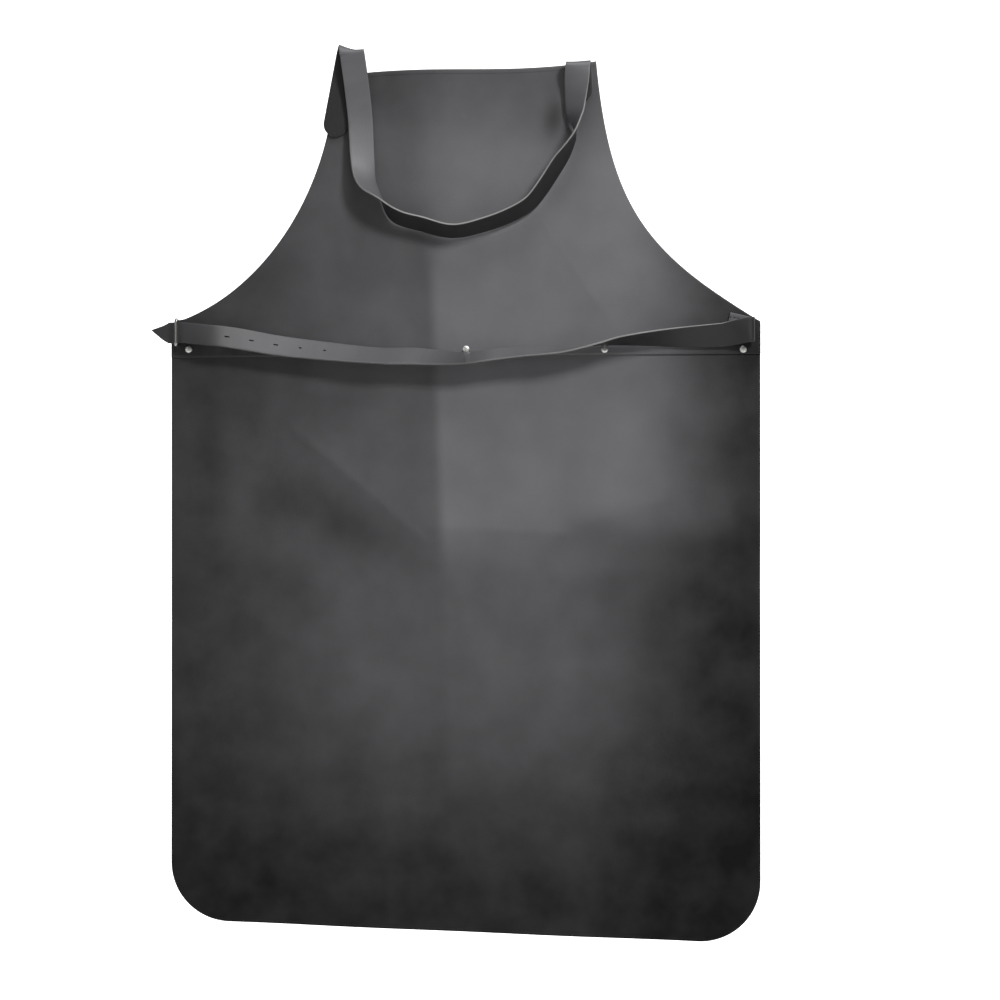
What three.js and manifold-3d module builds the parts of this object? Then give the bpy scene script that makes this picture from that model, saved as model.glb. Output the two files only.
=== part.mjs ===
// A bib apron in smooth black leather, hanging straight, seen from its front along +Y.
// Two panels are lapped and riveted at the waist. The neck strap is sewn to the bib's front, folds
// forward over each sewn end and hangs down in a loop. The waist strap is sewn to the right ear,
// folds back across the front with half a twist, and its punched end runs through a wire loop.
//
// Frame: millimetres, +X to the right, +Y to the wearer, +Z up. The origin is the middle of the
// bib's top edge, on the bib's back face.
import * as THREE from "three";
import { mergeVertices } from "three/addons/utils/BufferGeometryUtils.js";
import Module from "manifold-3d";

const wasm = await Module();
wasm.setup();

// ---- Panels ----
const LEATHER = 1.6; // thickness of the two panels
const LAID_GAP = 0.3; // clearance between pieces that lie on each other
const APRON_WIDTH = 606; // across the skirt and the two ears
const BIB_TOP_WIDTH = 268;
const BIB_TOP_RISE = 16; // the bib's top edge climbs this much from left to right
const BIB_DEPTH = 297; // from the origin down to the bib's lower edge, at the left
const EAR_HEIGHT = 39; // from the bib's lower edge up to the ears' top corners
const LAP_RISE = 4; // the lap climbs this much from left to right
const LAP = 18; // the skirt's top edge lies this far above the bib's lower edge
const SKIRT_DEPTH = 591; // from the bib's lower edge down to the middle of the hem
const HEM_FALL = 26; // the hem falls this much from left to right
const HEM_CORNER = 62; // radius of the hem's two corners
const LEFT_EAR_CORNER = 12;
const RIGHT_EAR_CORNER = 3;
const BIB_TOP_SWELL = 9.5; // how far the top edge's curve is pulled up at its left and down at its right
// The two armholes are cut by hand: where the bib's straight side starts to sweep out, how far it
// leans out on the way there, and the sweep's pull from the ear, across and up.
const LEFT_ARMHOLE = { depth: 135, flare: 8, reach: 78, lift: 30 };
const RIGHT_ARMHOLE = { depth: 145, flare: 14, reach: 112, lift: 69 };

// ---- Rivets ----
const RIVET_COUNT = 5;
const RIVET_INSET = 17.8; // from the side edges in to the outer rivets
const RIVET_EDGE = 8.6; // from the bib's lower edge up to the rivets
const RIVET_CAP_RADIUS = 3.7;
const RIVET_CAP_RISE = 1.5;
const RIVET_CAP_RECESS = 0.6; // depth of the cap's socket
const RIVET_SHANK_RADIUS = 1.6;
const RIVET_CLEARANCE = 0.3; // around the shank, in the panels and in the cap
const RIVET_HEAD_RADIUS = 4;
const RIVET_HEAD_THICKNESS = 0.9;

// ---- Straps ----
const STRAP_WIDTH = 25.4;
const STRAP_THICKNESS = 2;
const STANDING_GAP = 1.2; // between the bib and a strap that stands on its edge
const FOLD_GAP = 0.036 * STRAP_WIDTH; // between a slanting fold and the straight parts of its strap
const NECK_FOLD_RADIUS = 5.5; // of the strap's middle where it folds over
const NECK_DROP = 176; // from the line between the folds down to the loop's lowest point
const LEFT_FOLD_INSET = 15.6; // from the bib's top corner in to the fold's middle
const LEFT_FOLD_STAND = 20; // from the bib's top edge up to the fold's centre
const RIGHT_FOLD_INSET = 18.5;
const RIGHT_FOLD_STAND = -6.9;
const LEFT_END_LENGTH = 83; // sewn end, below the fold's centre
const RIGHT_END_LENGTH = 34;
const WAIST_FOLD_RADIUS = 4.5;
const WAIST_FOLD_INSET = 12; // from the right side edge in to the fold's centre
const WAIST_FOLD_RISE = 20.4; // from the line of rivets up to the strap's middle at the fold
const WAIST_FOLD_DROP = 0.6; // how far the strap sinks as it goes round the fold
const WAIST_FOLD_STAND = 0.35; // extra clearance that keeps the fold off the ear
const WAIST_END_LENGTH = 22; // sewn end, inwards from the fold's centre
const WAIST_END_RISE = 5; // how far the sewn end climbs to its inner end
const STRAP_END_WIDTH = 21.6; // at the punched end
const STRAP_END_TAPER = 50; // length over which the strap narrows to it
const TIP_LENGTH = 18;
const TIP_WIDTH = 0.8;
const TIP_SKEW = 2.6; // how far the tip points up from the middle of the loop
const TIP_OVERHANG = 26.3; // from the wire loop out to the tip
const SPAN_RIGHT = 232; // the hanging span lies between these
const SPAN_LEFT = -232;
const SLOT_WIDTH = 1.7;
const SLOT_PITCH = 25;
const SLOT_FIRST = 52.1; // from the wire loop in to the first slot
const SLOT_LENGTHS = [5.2, 5.2, 5.2, 3, 3];

// ---- Wire loop on the left ear ----
const WIRE_RADIUS = 1.6;
const LOOP_INSET = 7; // from the left side edge in to the loop's inner bar
const LOOP_DEPTH = 13; // between the centrelines of its inner and outer bars
const LOOP_CLEARANCE = 0.5; // between its rails and the strap's edges
const LOOP_CORNER = 2.6;
const LOOP_RISE = 27.2; // from the line of rivets up to the strap's top edge in the loop
const TAB_THICKNESS = 1.2;
const TAB_WIDTH = 17;
const TAB_LENGTH = 26;
const TAB_CLEARANCE = 0.25; // around the inner bar

// ---- Places that several pieces share ----
const HALF_WIDTH = APRON_WIDTH / 2;
const EAR_DEPTH = BIB_DEPTH - EAR_HEIGHT;
const HEM_DEPTH = BIB_DEPTH + SKIRT_DEPTH;
const FRONT = -LEATHER; // the bib's front face
const SEWN_Y = FRONT - LAID_GAP - STRAP_THICKNESS / 2; // middle of a strap sewn flat on the bib
const RIVET_Z = -BIB_DEPTH + RIVET_EDGE;
const LOOP_X = -HALF_WIDTH + LOOP_INSET;
const LOOP_Z = RIVET_Z + LOOP_RISE - STRAP_END_WIDTH / 2;
const TAB_BACK_Y = FRONT - LAID_GAP - TAB_THICKNESS / 2;
const TAB_WRAP = WIRE_RADIUS + TAB_CLEARANCE + TAB_THICKNESS / 2;
const LOOP_Y = TAB_BACK_Y - TAB_WRAP; // the loop's inner bar
const WAIST_FOLD_X = HALF_WIDTH - WAIST_FOLD_INSET;
const TAB_RISE = 2 * TAB_WRAP + TAB_THICKNESS + LAID_GAP; // from the bib to the front of the tab
const OVER_END = STRAP_THICKNESS + 2 * LAID_GAP; // what lets a strap pass over its own sewn end
const PAST_RIVET = RIVET_CAP_RADIUS + LAID_GAP; // from a rivet's middle to the edge of a strap

const topEdgeAt = (x) => (BIB_TOP_RISE * x) / BIB_TOP_WIDTH;
const lapRiseAt = (x) => LAP_RISE * (x / APRON_WIDTH + 0.5);
const hemAt = (x) => -HEM_DEPTH - (HEM_FALL * x) / APRON_WIDTH;
const degrees = THREE.MathUtils.degToRad;

// ---- Finishes ----
const finish = (color, roughness, metalness) => new THREE.MeshStandardMaterial({ color, roughness, metalness });
const panelLeather = finish("#3d3d3f", 0.45, 0);
const strapLeather = finish("#57575a", 0.42, 0);
const nickel = finish("#d8d8d6", 0.2, 1);
const steelWire = finish("#a8a8a4", 0.3, 1);

const apron = new THREE.Group();

function addPiece(name, geometry, material, group = apron) {
  const mesh = new THREE.Mesh(geometry, material);
  mesh.name = name;
  group.add(mesh);
  return mesh;
}

// ---- Solids for cutting ----
function solidOf(geometry) {
  const bare = geometry.clone();
  bare.deleteAttribute("normal");
  bare.deleteAttribute("uv");
  const merged = mergeVertices(bare, 1e-4);
  const triVerts = new Uint32Array(merged.index.array);
  return new wasm.Manifold(
    new wasm.Mesh({ numProp: 3, vertProperties: merged.attributes.position.array, triVerts }),
  );
}

function geometryOf(solid) {
  const mesh = solid.getMesh();
  const geometry = new THREE.BufferGeometry();
  geometry.setAttribute("position", new THREE.BufferAttribute(mesh.vertProperties, 3));
  geometry.setIndex(new THREE.BufferAttribute(mesh.triVerts, 1));
  geometry.computeVertexNormals();
  return geometry;
}

// The part of a solid that lies between two planes across X.
function between(solid, low, high) {
  const block = new THREE.BoxGeometry(high - low, APRON_WIDTH, 4 * EAR_DEPTH);
  block.translate((low + high) / 2, 0, -EAR_DEPTH);
  return solid.intersect(solidOf(block));
}

// ---- Panels ----
const rivetPlaces = Array.from({ length: RIVET_COUNT }, (_, i) => {
  const share = i / (RIVET_COUNT - 1);
  const x = THREE.MathUtils.lerp(RIVET_INSET - HALF_WIDTH, HALF_WIDTH - RIVET_INSET, share);
  return { x, z: RIVET_Z };
});

function punchRivetHoles(shape) {
  for (const { x, z } of rivetPlaces) {
    const hole = new THREE.Path();
    hole.absarc(x, z, RIVET_SHANK_RADIUS + RIVET_CLEARANCE, 0, 2 * Math.PI);
    shape.holes.push(hole);
  }
}

function bibShape() {
  const top = BIB_TOP_WIDTH / 2;
  const third = top / 3;
  const right = HALF_WIDTH - RIGHT_EAR_CORNER;
  const left = HALF_WIDTH - LEFT_EAR_CORNER;
  const shape = new THREE.Shape();
  shape.moveTo(-top, topEdgeAt(-top));
  shape.bezierCurveTo(
    ...[-third, topEdgeAt(-third) + BIB_TOP_SWELL],
    ...[third, topEdgeAt(third) - BIB_TOP_SWELL],
    ...[top, topEdgeAt(top)],
  );
  shape.bezierCurveTo(
    ...[top + RIGHT_ARMHOLE.flare, -RIGHT_ARMHOLE.depth],
    ...[right - RIGHT_ARMHOLE.reach, RIGHT_ARMHOLE.lift - EAR_DEPTH],
    ...[right, -EAR_DEPTH],
  );
  shape.quadraticCurveTo(HALF_WIDTH, -EAR_DEPTH, HALF_WIDTH, -EAR_DEPTH - RIGHT_EAR_CORNER);
  shape.lineTo(HALF_WIDTH, -BIB_DEPTH + lapRiseAt(HALF_WIDTH));
  shape.lineTo(-HALF_WIDTH, -BIB_DEPTH + lapRiseAt(-HALF_WIDTH));
  shape.lineTo(-HALF_WIDTH, -EAR_DEPTH - LEFT_EAR_CORNER);
  shape.quadraticCurveTo(-HALF_WIDTH, -EAR_DEPTH, -left, -EAR_DEPTH);
  shape.bezierCurveTo(
    ...[LEFT_ARMHOLE.reach - left, LEFT_ARMHOLE.lift - EAR_DEPTH],
    ...[-top - LEFT_ARMHOLE.flare, -LEFT_ARMHOLE.depth],
    ...[-top, topEdgeAt(-top)],
  );
  punchRivetHoles(shape);
  return shape;
}

function skirtShape() {
  const skirtTopAt = (x) => -BIB_DEPTH + LAP + lapRiseAt(x);
  const inner = HALF_WIDTH - HEM_CORNER;
  const shape = new THREE.Shape();
  shape.moveTo(-HALF_WIDTH, skirtTopAt(-HALF_WIDTH));
  shape.lineTo(HALF_WIDTH, skirtTopAt(HALF_WIDTH));
  shape.lineTo(HALF_WIDTH, hemAt(inner) + HEM_CORNER);
  shape.absarc(inner, hemAt(inner) + HEM_CORNER, HEM_CORNER, 0, -Math.PI / 2, true);
  shape.lineTo(-inner, hemAt(-inner));
  shape.absarc(-inner, hemAt(-inner) + HEM_CORNER, HEM_CORNER, -Math.PI / 2, -Math.PI, true);
  punchRivetHoles(shape);
  return shape;
}

// A sheet cut to a shape drawn in X and Z, with its back face at the given Y.
function addPanel(name, shape, backY) {
  const geometry = new THREE.ExtrudeGeometry(shape, { depth: LEATHER, bevelEnabled: false, curveSegments: 14 });
  const mesh = addPiece(name, geometry, panelLeather);
  mesh.rotation.x = Math.PI / 2;
  mesh.position.y = backY;
  return mesh;
}

const SKIRT_BACK = LEATHER + LAID_GAP;
addPanel("bib_panel", bibShape(), 0);
addPanel("skirt_panel", skirtShape(), SKIRT_BACK);

// ---- Rivets: a domed cap at the front of the lap, a post with a flat head at its back ----
const capUnderside = LAID_GAP;
const socketRoof = capUnderside + RIVET_CAP_RECESS;
const postEnd = socketRoof - RIVET_CLEARANCE; // all three from the bib's front face outwards
const socketRadius = RIVET_SHANK_RADIUS + RIVET_CLEARANCE;

function rivetCapGeometry() {
  const profile = [
    new THREE.Vector2(0, socketRoof),
    new THREE.Vector2(socketRadius, socketRoof),
    new THREE.Vector2(socketRadius, capUnderside),
    new THREE.Vector2(RIVET_CAP_RADIUS, capUnderside),
  ];
  const DOME_STEPS = 5;
  for (let i = 1; i < DOME_STEPS; i++) {
    const turn = (i / DOME_STEPS) * (Math.PI / 2);
    const r = RIVET_CAP_RADIUS * Math.cos(turn);
    profile.push(new THREE.Vector2(r, capUnderside + RIVET_CAP_RISE * Math.sin(turn)));
  }
  profile.push(new THREE.Vector2(0, capUnderside + RIVET_CAP_RISE));
  return new THREE.LatheGeometry(profile, 20);
}

function rivetPostGeometry() {
  const headFront = -(LEATHER + SKIRT_BACK + LAID_GAP); // from the bib's front face
  const profile = [
    new THREE.Vector2(0, headFront - RIVET_HEAD_THICKNESS),
    new THREE.Vector2(RIVET_HEAD_RADIUS, headFront - RIVET_HEAD_THICKNESS),
    new THREE.Vector2(RIVET_HEAD_RADIUS, headFront),
    new THREE.Vector2(RIVET_SHANK_RADIUS, headFront),
    new THREE.Vector2(RIVET_SHANK_RADIUS, postEnd),
    new THREE.Vector2(0, postEnd),
  ];
  return new THREE.LatheGeometry(profile, 20);
}

rivetPlaces.forEach(({ x, z }, i) => {
  const rivet = new THREE.Group();
  rivet.position.set(x, FRONT, z);
  rivet.rotation.x = Math.PI; // the lathe's axis points out of the front
  addPiece(`rivet_cap_${i + 1}`, rivetCapGeometry(), nickel, rivet);
  addPiece(`rivet_post_${i + 1}`, rivetPostGeometry(), nickel, rivet);
  apron.add(rivet);
});

// ---- Straps ----
// A direction for a strap's width: a heading in the plane of the apron, lifted towards the front.
function widthDirection(heading, lift) {
  const flat = Math.cos(degrees(lift));
  return new THREE.Vector3(
    flat * Math.cos(degrees(heading)),
    -Math.sin(degrees(lift)),
    flat * Math.sin(degrees(heading)),
  );
}

// The Y of a strap's middle where it stands on the bib on one edge, lifted by the given angle.
function standingY(lift, extra = 0, width = STRAP_WIDTH) {
  const reach = (width * Math.sin(degrees(lift)) + STRAP_THICKNESS * Math.abs(Math.cos(degrees(lift)))) / 2;
  return FRONT - STANDING_GAP - extra - reach;
}

// A flat strap: a box, divided along its length and bent to follow its stations.
// A station has the strap's middle and the direction of its width.
function strapGeometry(stations, { thickness = STRAP_THICKNESS, widthAt = () => STRAP_WIDTH, steps = 4 } = {}) {
  const middle = new THREE.CatmullRomCurve3(stations.map((s) => s.at));
  const across = new THREE.CatmullRomCurve3(stations.map((s) => s.across));
  const geometry = new THREE.BoxGeometry(1, 1, 1, 1, 1, steps * (stations.length - 1));
  const position = geometry.attributes.position;
  for (let i = 0; i < position.count; i++) {
    const t = position.getZ(i) + 0.5;
    const centre = middle.getPoint(t);
    const along = middle.getTangent(t);
    const wide = across.getPoint(t);
    wide.addScaledVector(along, -wide.dot(along)).normalize();
    const thick = along.clone().cross(wide);
    centre.addScaledVector(wide, position.getX(i) * widthAt(t, centre));
    centre.addScaledVector(thick, position.getY(i) * thickness);
    position.setXYZ(i, centre.x, centre.y, centre.z);
  }
  return geometryOf(solidOf(geometry));
}

// ---- Neck strap ----
const leftFold = {
  x: -BIB_TOP_WIDTH / 2 + LEFT_FOLD_INSET,
  drift: 4.3, // how far the strap moves to the right as it goes over
  slant: 16, // how far its outer edge rides up, in degrees
  endLean: -15.5, // from the fold out to the end of the sewn part
  endLength: LEFT_END_LENGTH,
  backHeading: 172,
  frontHeading: 186,
};
leftFold.z = topEdgeAt(leftFold.x) + LEFT_FOLD_STAND;
const rightFold = {
  x: BIB_TOP_WIDTH / 2 - RIGHT_FOLD_INSET,
  drift: -2,
  slant: 6,
  endLean: 2,
  endLength: RIGHT_END_LENGTH,
  backHeading: 3,
  frontHeading: -6,
};
rightFold.z = topEdgeAt(rightFold.x) + RIGHT_FOLD_STAND;
const FOLD_Y = SEWN_Y - NECK_FOLD_RADIUS;

const FOLD_TURNS = [0.07, 0.15, 0.27, 0.38, 0.5, 0.62, 0.73, 0.85, 0.93];

// The hairpin over the fold's centre: turn 0 is at the back, on the sewn end, and 1 at the front.
function foldStation(fold, turn) {
  const angle = turn * Math.PI;
  const side = Math.sign(fold.x);
  const heading = THREE.MathUtils.lerp(fold.backHeading, fold.frontHeading, turn) + side * fold.slant * Math.sin(angle);
  return {
    at: new THREE.Vector3(
      fold.x + fold.drift * (turn - 0.5),
      FOLD_Y + NECK_FOLD_RADIUS * Math.cos(angle),
      fold.z + NECK_FOLD_RADIUS * Math.sin(angle),
    ),
    across: widthDirection(heading, 0),
  };
}

function sewnNeckEnd(fold) {
  const top = foldStation(fold, 0);
  top.at.z -= FOLD_GAP;
  const end = {
    at: new THREE.Vector3(top.at.x + fold.endLean, SEWN_Y, fold.z - fold.endLength),
    across: top.across,
  };
  const ROUNDED = STRAP_WIDTH / 2;
  const widthAt = (t, centre) => {
    const left = Math.max(0, centre.z - end.at.z);
    const short = Math.max(0, 1 - left / ROUNDED);
    return STRAP_WIDTH * Math.max(0.2, Math.sqrt(1 - short * short));
  };
  return strapGeometry([top, end], { widthAt, steps: 24 });
}

// The loop's stations between its two folds: the share of the way across, the share of the drop,
// how far the strap is lifted from lying flat on the bib towards leaning in over the loop, and
// the extra distance that it stands off the bib.
const NECK_STATIONS = [
  [0.032, 0.343, 10, 0],
  [0.045, 0.622, 20, 0],
  [0.061, 0.741, 44, 0],
  [0.119, 0.827, 82, 0],
  [0.19, 0.927, 116, 0],
  [0.307, 0.965, 118, 0],
  [0.444, 0.998, 116, 0],
  [0.587, 0.948, 117, 0],
  [0.697, 0.886, 118, 0],
  [0.788, 0.81, 119, 0],
  [0.846, 0.71, 120, 0],
  [0.913, 0.568, 120, 0],
  [0.96, 0.471, 108, OVER_END / 2],
  [0.994, 0.367, 90, OVER_END],
  [0.99, 0.273, 50, OVER_END],
  [0.992, 0.16, 32, OVER_END],
];

function neckLoopStations() {
  const start = foldStation(leftFold, 1);
  const finish = foldStation(rightFold, 1);
  start.at.z -= FOLD_GAP;
  finish.at.z -= FOLD_GAP;
  const flat = NECK_STATIONS.map(([share, drop]) => {
    const x = THREE.MathUtils.lerp(start.at.x, finish.at.x, share);
    const z = THREE.MathUtils.lerp(leftFold.z, rightFold.z, share) - drop * NECK_DROP;
    return new THREE.Vector3(x, 0, z);
  });
  const ends = [start, finish].map((s) => new THREE.Vector3(s.at.x, 0, s.at.z));
  const line = new THREE.CatmullRomCurve3([ends[0], ...flat, ends[1]]);
  const middle = flat.map((at, i) => {
    const along = line.getTangent((i + 1) / (flat.length + 1));
    const heading = THREE.MathUtils.radToDeg(Math.atan2(-along.x, along.z));
    const [, , lift, extra] = NECK_STATIONS[i];
    at.y = standingY(lift, extra);
    return { at, across: widthDirection(heading, lift) };
  });
  return [start, ...middle, finish];
}

const neckEndOptions = [
  ["left", leftFold],
  ["right", rightFold],
];
for (const [side, fold] of neckEndOptions) {
  addPiece(`neck_strap_${side}_end`, sewnNeckEnd(fold), strapLeather);
  const turns = FOLD_TURNS.map((turn) => foldStation(fold, turn));
  addPiece(`neck_strap_${side}_fold`, strapGeometry(turns, { steps: 2 }), strapLeather);
}
addPiece("neck_strap_loop", strapGeometry(neckLoopStations(), { steps: 3 }), strapLeather);

// ---- Waist strap ----
// Stations of the strap's front run, from the fold at the right ear to the wire loop at the left:
// the share of the way, the rise of the edge that stands on the bib above the line of rivets, the
// lift of the strap from standing upright above that edge towards the front and over, and the
// extra distance that the edge stands off the bib.
const WAIST_STATIONS = [
  [0.018, 3.6, 18, 1.6],
  [0.085, 1.9, 31, 0],
  [0.167, PAST_RIVET - 0.3, 57, 0],
  [0.231, PAST_RIVET + 0.6, 76, 0],
  [0.265, PAST_RIVET + 0.6, 90, 0],
  [0.329, 2.3, 106, 0],
  [0.399, 2, 115, 0],
  [0.452, -0.6, 118, 0],
  [0.497, -PAST_RIVET, 119, 0],
  [0.54, -1.6, 128, 0],
  [0.59, 1.2, 135, 0],
  [0.644, 1.1, 133, 0],
  [0.766, 8.9, 142, 0],
  [0.827, 13.8, 146, 0.6],
  [0.888, 20.5, 150, 3],
  [0.926, 23.3, 154, TAB_RISE + 1.2],
  [0.95, 24.4, 158, TAB_RISE + 0.7],
  [0.976, 26.2, 166, TAB_RISE],
  [1, LOOP_RISE, 176, TAB_RISE],
  [1.013, 26.7, 178, TAB_RISE - 1],
];

function strapWidthAt(x) {
  const tipX = LOOP_X - TIP_OVERHANG;
  const narrowed = THREE.MathUtils.clamp((LOOP_X + 1.2 * STRAP_END_TAPER - x) / STRAP_END_TAPER, 0, 1);
  const plain = THREE.MathUtils.lerp(STRAP_WIDTH, STRAP_END_WIDTH, narrowed);
  const toTip = THREE.MathUtils.clamp((x - tipX) / TIP_LENGTH, 0, 1);
  return THREE.MathUtils.lerp(TIP_WIDTH, plain, toTip);
}

function waistFrontStations() {
  const stations = WAIST_STATIONS.map(([share, rise, lift, extra]) => {
    const x = THREE.MathUtils.lerp(WAIST_FOLD_X, LOOP_X, share);
    const width = strapWidthAt(x);
    const z = RIVET_Z + rise + (width / 2) * Math.cos(degrees(lift));
    return { at: new THREE.Vector3(x, standingY(lift, extra, width), z), across: widthDirection(90, lift) };
  });
  const tip = new THREE.Vector3(LOOP_X - TIP_OVERHANG, standingY(0, TAB_RISE / 2), LOOP_Z + TIP_SKEW);
  stations.push({ at: tip, across: widthDirection(90, 178) });
  return stations;
}

// The sewn end on the right ear and the hairpin that turns it back across the front.
function waistEndStations() {
  const up = widthDirection(90, 0);
  const foldZ = RIVET_Z + WAIST_FOLD_RISE;
  const endY = SEWN_Y - WAIST_FOLD_STAND;
  const stations = [1, 0.5, 0.15, 0.05].map((share) => {
    const at = new THREE.Vector3(WAIST_FOLD_X - share * WAIST_END_LENGTH, endY, foldZ + share * WAIST_END_RISE);
    return { at, across: up };
  });
  for (const turn of [0, 0.25, 0.5, 0.75, 1]) {
    const angle = turn * Math.PI;
    const at = new THREE.Vector3(
      WAIST_FOLD_X + WAIST_FOLD_RADIUS * Math.sin(angle),
      endY - WAIST_FOLD_RADIUS * (1 - Math.cos(angle)),
      foldZ - WAIST_FOLD_DROP * turn,
    );
    stations.push({ at, across: up });
  }
  return stations;
}

// A cutter for one slot, standing square to the strap where its middle has the given X.
function slotCutter(curve, x, length) {
  let low = 0;
  let high = 1;
  for (let i = 0; i < 30; i++) {
    const middle = (low + high) / 2;
    if (curve.middle.getPoint(middle).x > x) low = middle;
    else high = middle;
  }
  const along = curve.middle.getTangent(low);
  const wide = curve.across.getPoint(low);
  wide.addScaledVector(along, -wide.dot(along)).normalize();
  const through = along.clone().cross(wide);
  const shape = new THREE.Shape();
  const r = SLOT_WIDTH / 2;
  shape.absarc(length / 2 - r, 0, r, -Math.PI / 2, Math.PI / 2, false);
  shape.absarc(r - length / 2, 0, r, Math.PI / 2, 1.5 * Math.PI, false);
  const depth = 3 * STRAP_THICKNESS;
  const geometry = new THREE.ExtrudeGeometry(shape, { depth, bevelEnabled: false, curveSegments: 4 });
  geometry.translate(0, 0, -depth / 2);
  geometry.applyMatrix4(new THREE.Matrix4().makeBasis(along, wide, through));
  geometry.translate(...curve.middle.getPoint(low).toArray());
  return solidOf(geometry);
}

function waistFrontSolid() {
  const stations = waistFrontStations();
  const curve = {
    middle: new THREE.CatmullRomCurve3(stations.map((s) => s.at)),
    across: new THREE.CatmullRomCurve3(stations.map((s) => s.across)),
  };
  let strap = solidOf(strapGeometry(stations, { widthAt: (t, centre) => strapWidthAt(centre.x), steps: 4 }));
  SLOT_LENGTHS.forEach((length, i) => {
    strap = strap.subtract(slotCutter(curve, LOOP_X + SLOT_FIRST + i * SLOT_PITCH, length));
  });
  return strap;
}

const waistFront = waistFrontSolid();
const endStations = [...waistEndStations(), ...waistFrontStations().slice(0, 4)];
const waistEnd = solidOf(strapGeometry(endStations, { steps: 4 }));
const HALF_GAP = LAID_GAP / 2;
const rightEnd = between(waistEnd, SPAN_RIGHT + HALF_GAP, APRON_WIDTH);
addPiece("waist_strap_right_end", geometryOf(rightEnd), strapLeather);
const span = between(waistFront, SPAN_LEFT + HALF_GAP, SPAN_RIGHT - HALF_GAP);
addPiece("waist_strap_span", geometryOf(span), strapLeather);
const billet = between(waistFront, -APRON_WIDTH, SPAN_LEFT - HALF_GAP);
addPiece("waist_strap_punched_end", geometryOf(billet), strapLeather);

// ---- Wire loop and its tab ----
// A wire ring: a torus whose round centreline is moved onto a rounded rectangle.
function wireLoopGeometry() {
  const halfDepth = LOOP_DEPTH / 2;
  const halfHeight = STRAP_END_WIDTH / 2 + LOOP_CLEARANCE + WIRE_RADIUS;
  const r = LOOP_CORNER;
  const path = new THREE.Path();
  path.moveTo(halfDepth, 0);
  path.lineTo(halfDepth, halfHeight - r);
  path.absarc(halfDepth - r, halfHeight - r, r, 0, Math.PI / 2, false);
  path.absarc(r - halfDepth, halfHeight - r, r, Math.PI / 2, Math.PI, false);
  path.absarc(r - halfDepth, r - halfHeight, r, Math.PI, 1.5 * Math.PI, false);
  path.absarc(halfDepth - r, r - halfHeight, r, 1.5 * Math.PI, 2 * Math.PI, false);
  path.lineTo(halfDepth, 0);
  const ROUND = 10;
  const geometry = new THREE.TorusGeometry(ROUND, WIRE_RADIUS, 10, 48);
  const position = geometry.attributes.position;
  for (let i = 0; i < position.count; i++) {
    const [x, y, z] = [position.getX(i), position.getY(i), position.getZ(i)];
    const share = (Math.atan2(y, x) / (2 * Math.PI) + 1) % 1;
    const at = path.getPointAt(share);
    const along = path.getTangentAt(share);
    const out = Math.hypot(x, y) - ROUND;
    position.setXYZ(i, at.x + along.y * out, at.y - along.x * out, z);
  }
  return geometryOf(solidOf(geometry));
}

const loopMesh = addPiece("belt_loop", wireLoopGeometry(), steelWire);
const [outwards, upwards, leftwards] = [
  new THREE.Vector3(0, -1, 0),
  new THREE.Vector3(0, 0, 1),
  new THREE.Vector3(-1, 0, 0),
];
loopMesh.quaternion.setFromRotationMatrix(new THREE.Matrix4().makeBasis(outwards, upwards, leftwards));
loopMesh.position.set(LOOP_X, LOOP_Y - LOOP_DEPTH / 2, LOOP_Z);

// The tab goes round the loop's inner bar, and both its plies are sewn to the ear.
function beltTabGeometry() {
  const up = widthDirection(90, 0);
  const frontPlyY = TAB_BACK_Y - TAB_THICKNESS - LAID_GAP;
  const points = [
    [LOOP_X + TAB_LENGTH, TAB_BACK_Y],
    [LOOP_X + TAB_LENGTH / 2, TAB_BACK_Y],
    [LOOP_X + 2, TAB_BACK_Y],
  ];
  for (const turn of [0, 0.25, 0.5, 0.75, 1]) {
    const angle = turn * Math.PI;
    points.push([LOOP_X - TAB_WRAP * Math.sin(angle), LOOP_Y + TAB_WRAP * Math.cos(angle)]);
  }
  points.push([LOOP_X + 2, LOOP_Y - TAB_WRAP]);
  points.push([LOOP_X + TAB_LENGTH / 2, frontPlyY]);
  points.push([LOOP_X + TAB_LENGTH, frontPlyY]);
  const stations = points.map(([x, y]) => ({ at: new THREE.Vector3(x, y, LOOP_Z), across: up }));
  return strapGeometry(stations, { thickness: TAB_THICKNESS, widthAt: () => TAB_WIDTH, steps: 3 });
}

addPiece("belt_loop_tab", beltTabGeometry(), strapLeather);

export default apron;
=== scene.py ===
"""The looks of a bib apron in smooth black leather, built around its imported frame.

Two panels hang straight, lapped and riveted at the waist. A neck strap is sewn to the bib and folds
forward into a loop, and a waist strap folds back from the right ear, crosses the front with half a
twist and runs through a wire loop on the left ear. Lengths in the classes are in millimetres, in the
frame's own axes (+X right, +Y to the wearer, +Z up), and meshes are made in metres.
"""

import logging
import math
from dataclasses import dataclass, field
from enum import Enum

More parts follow.
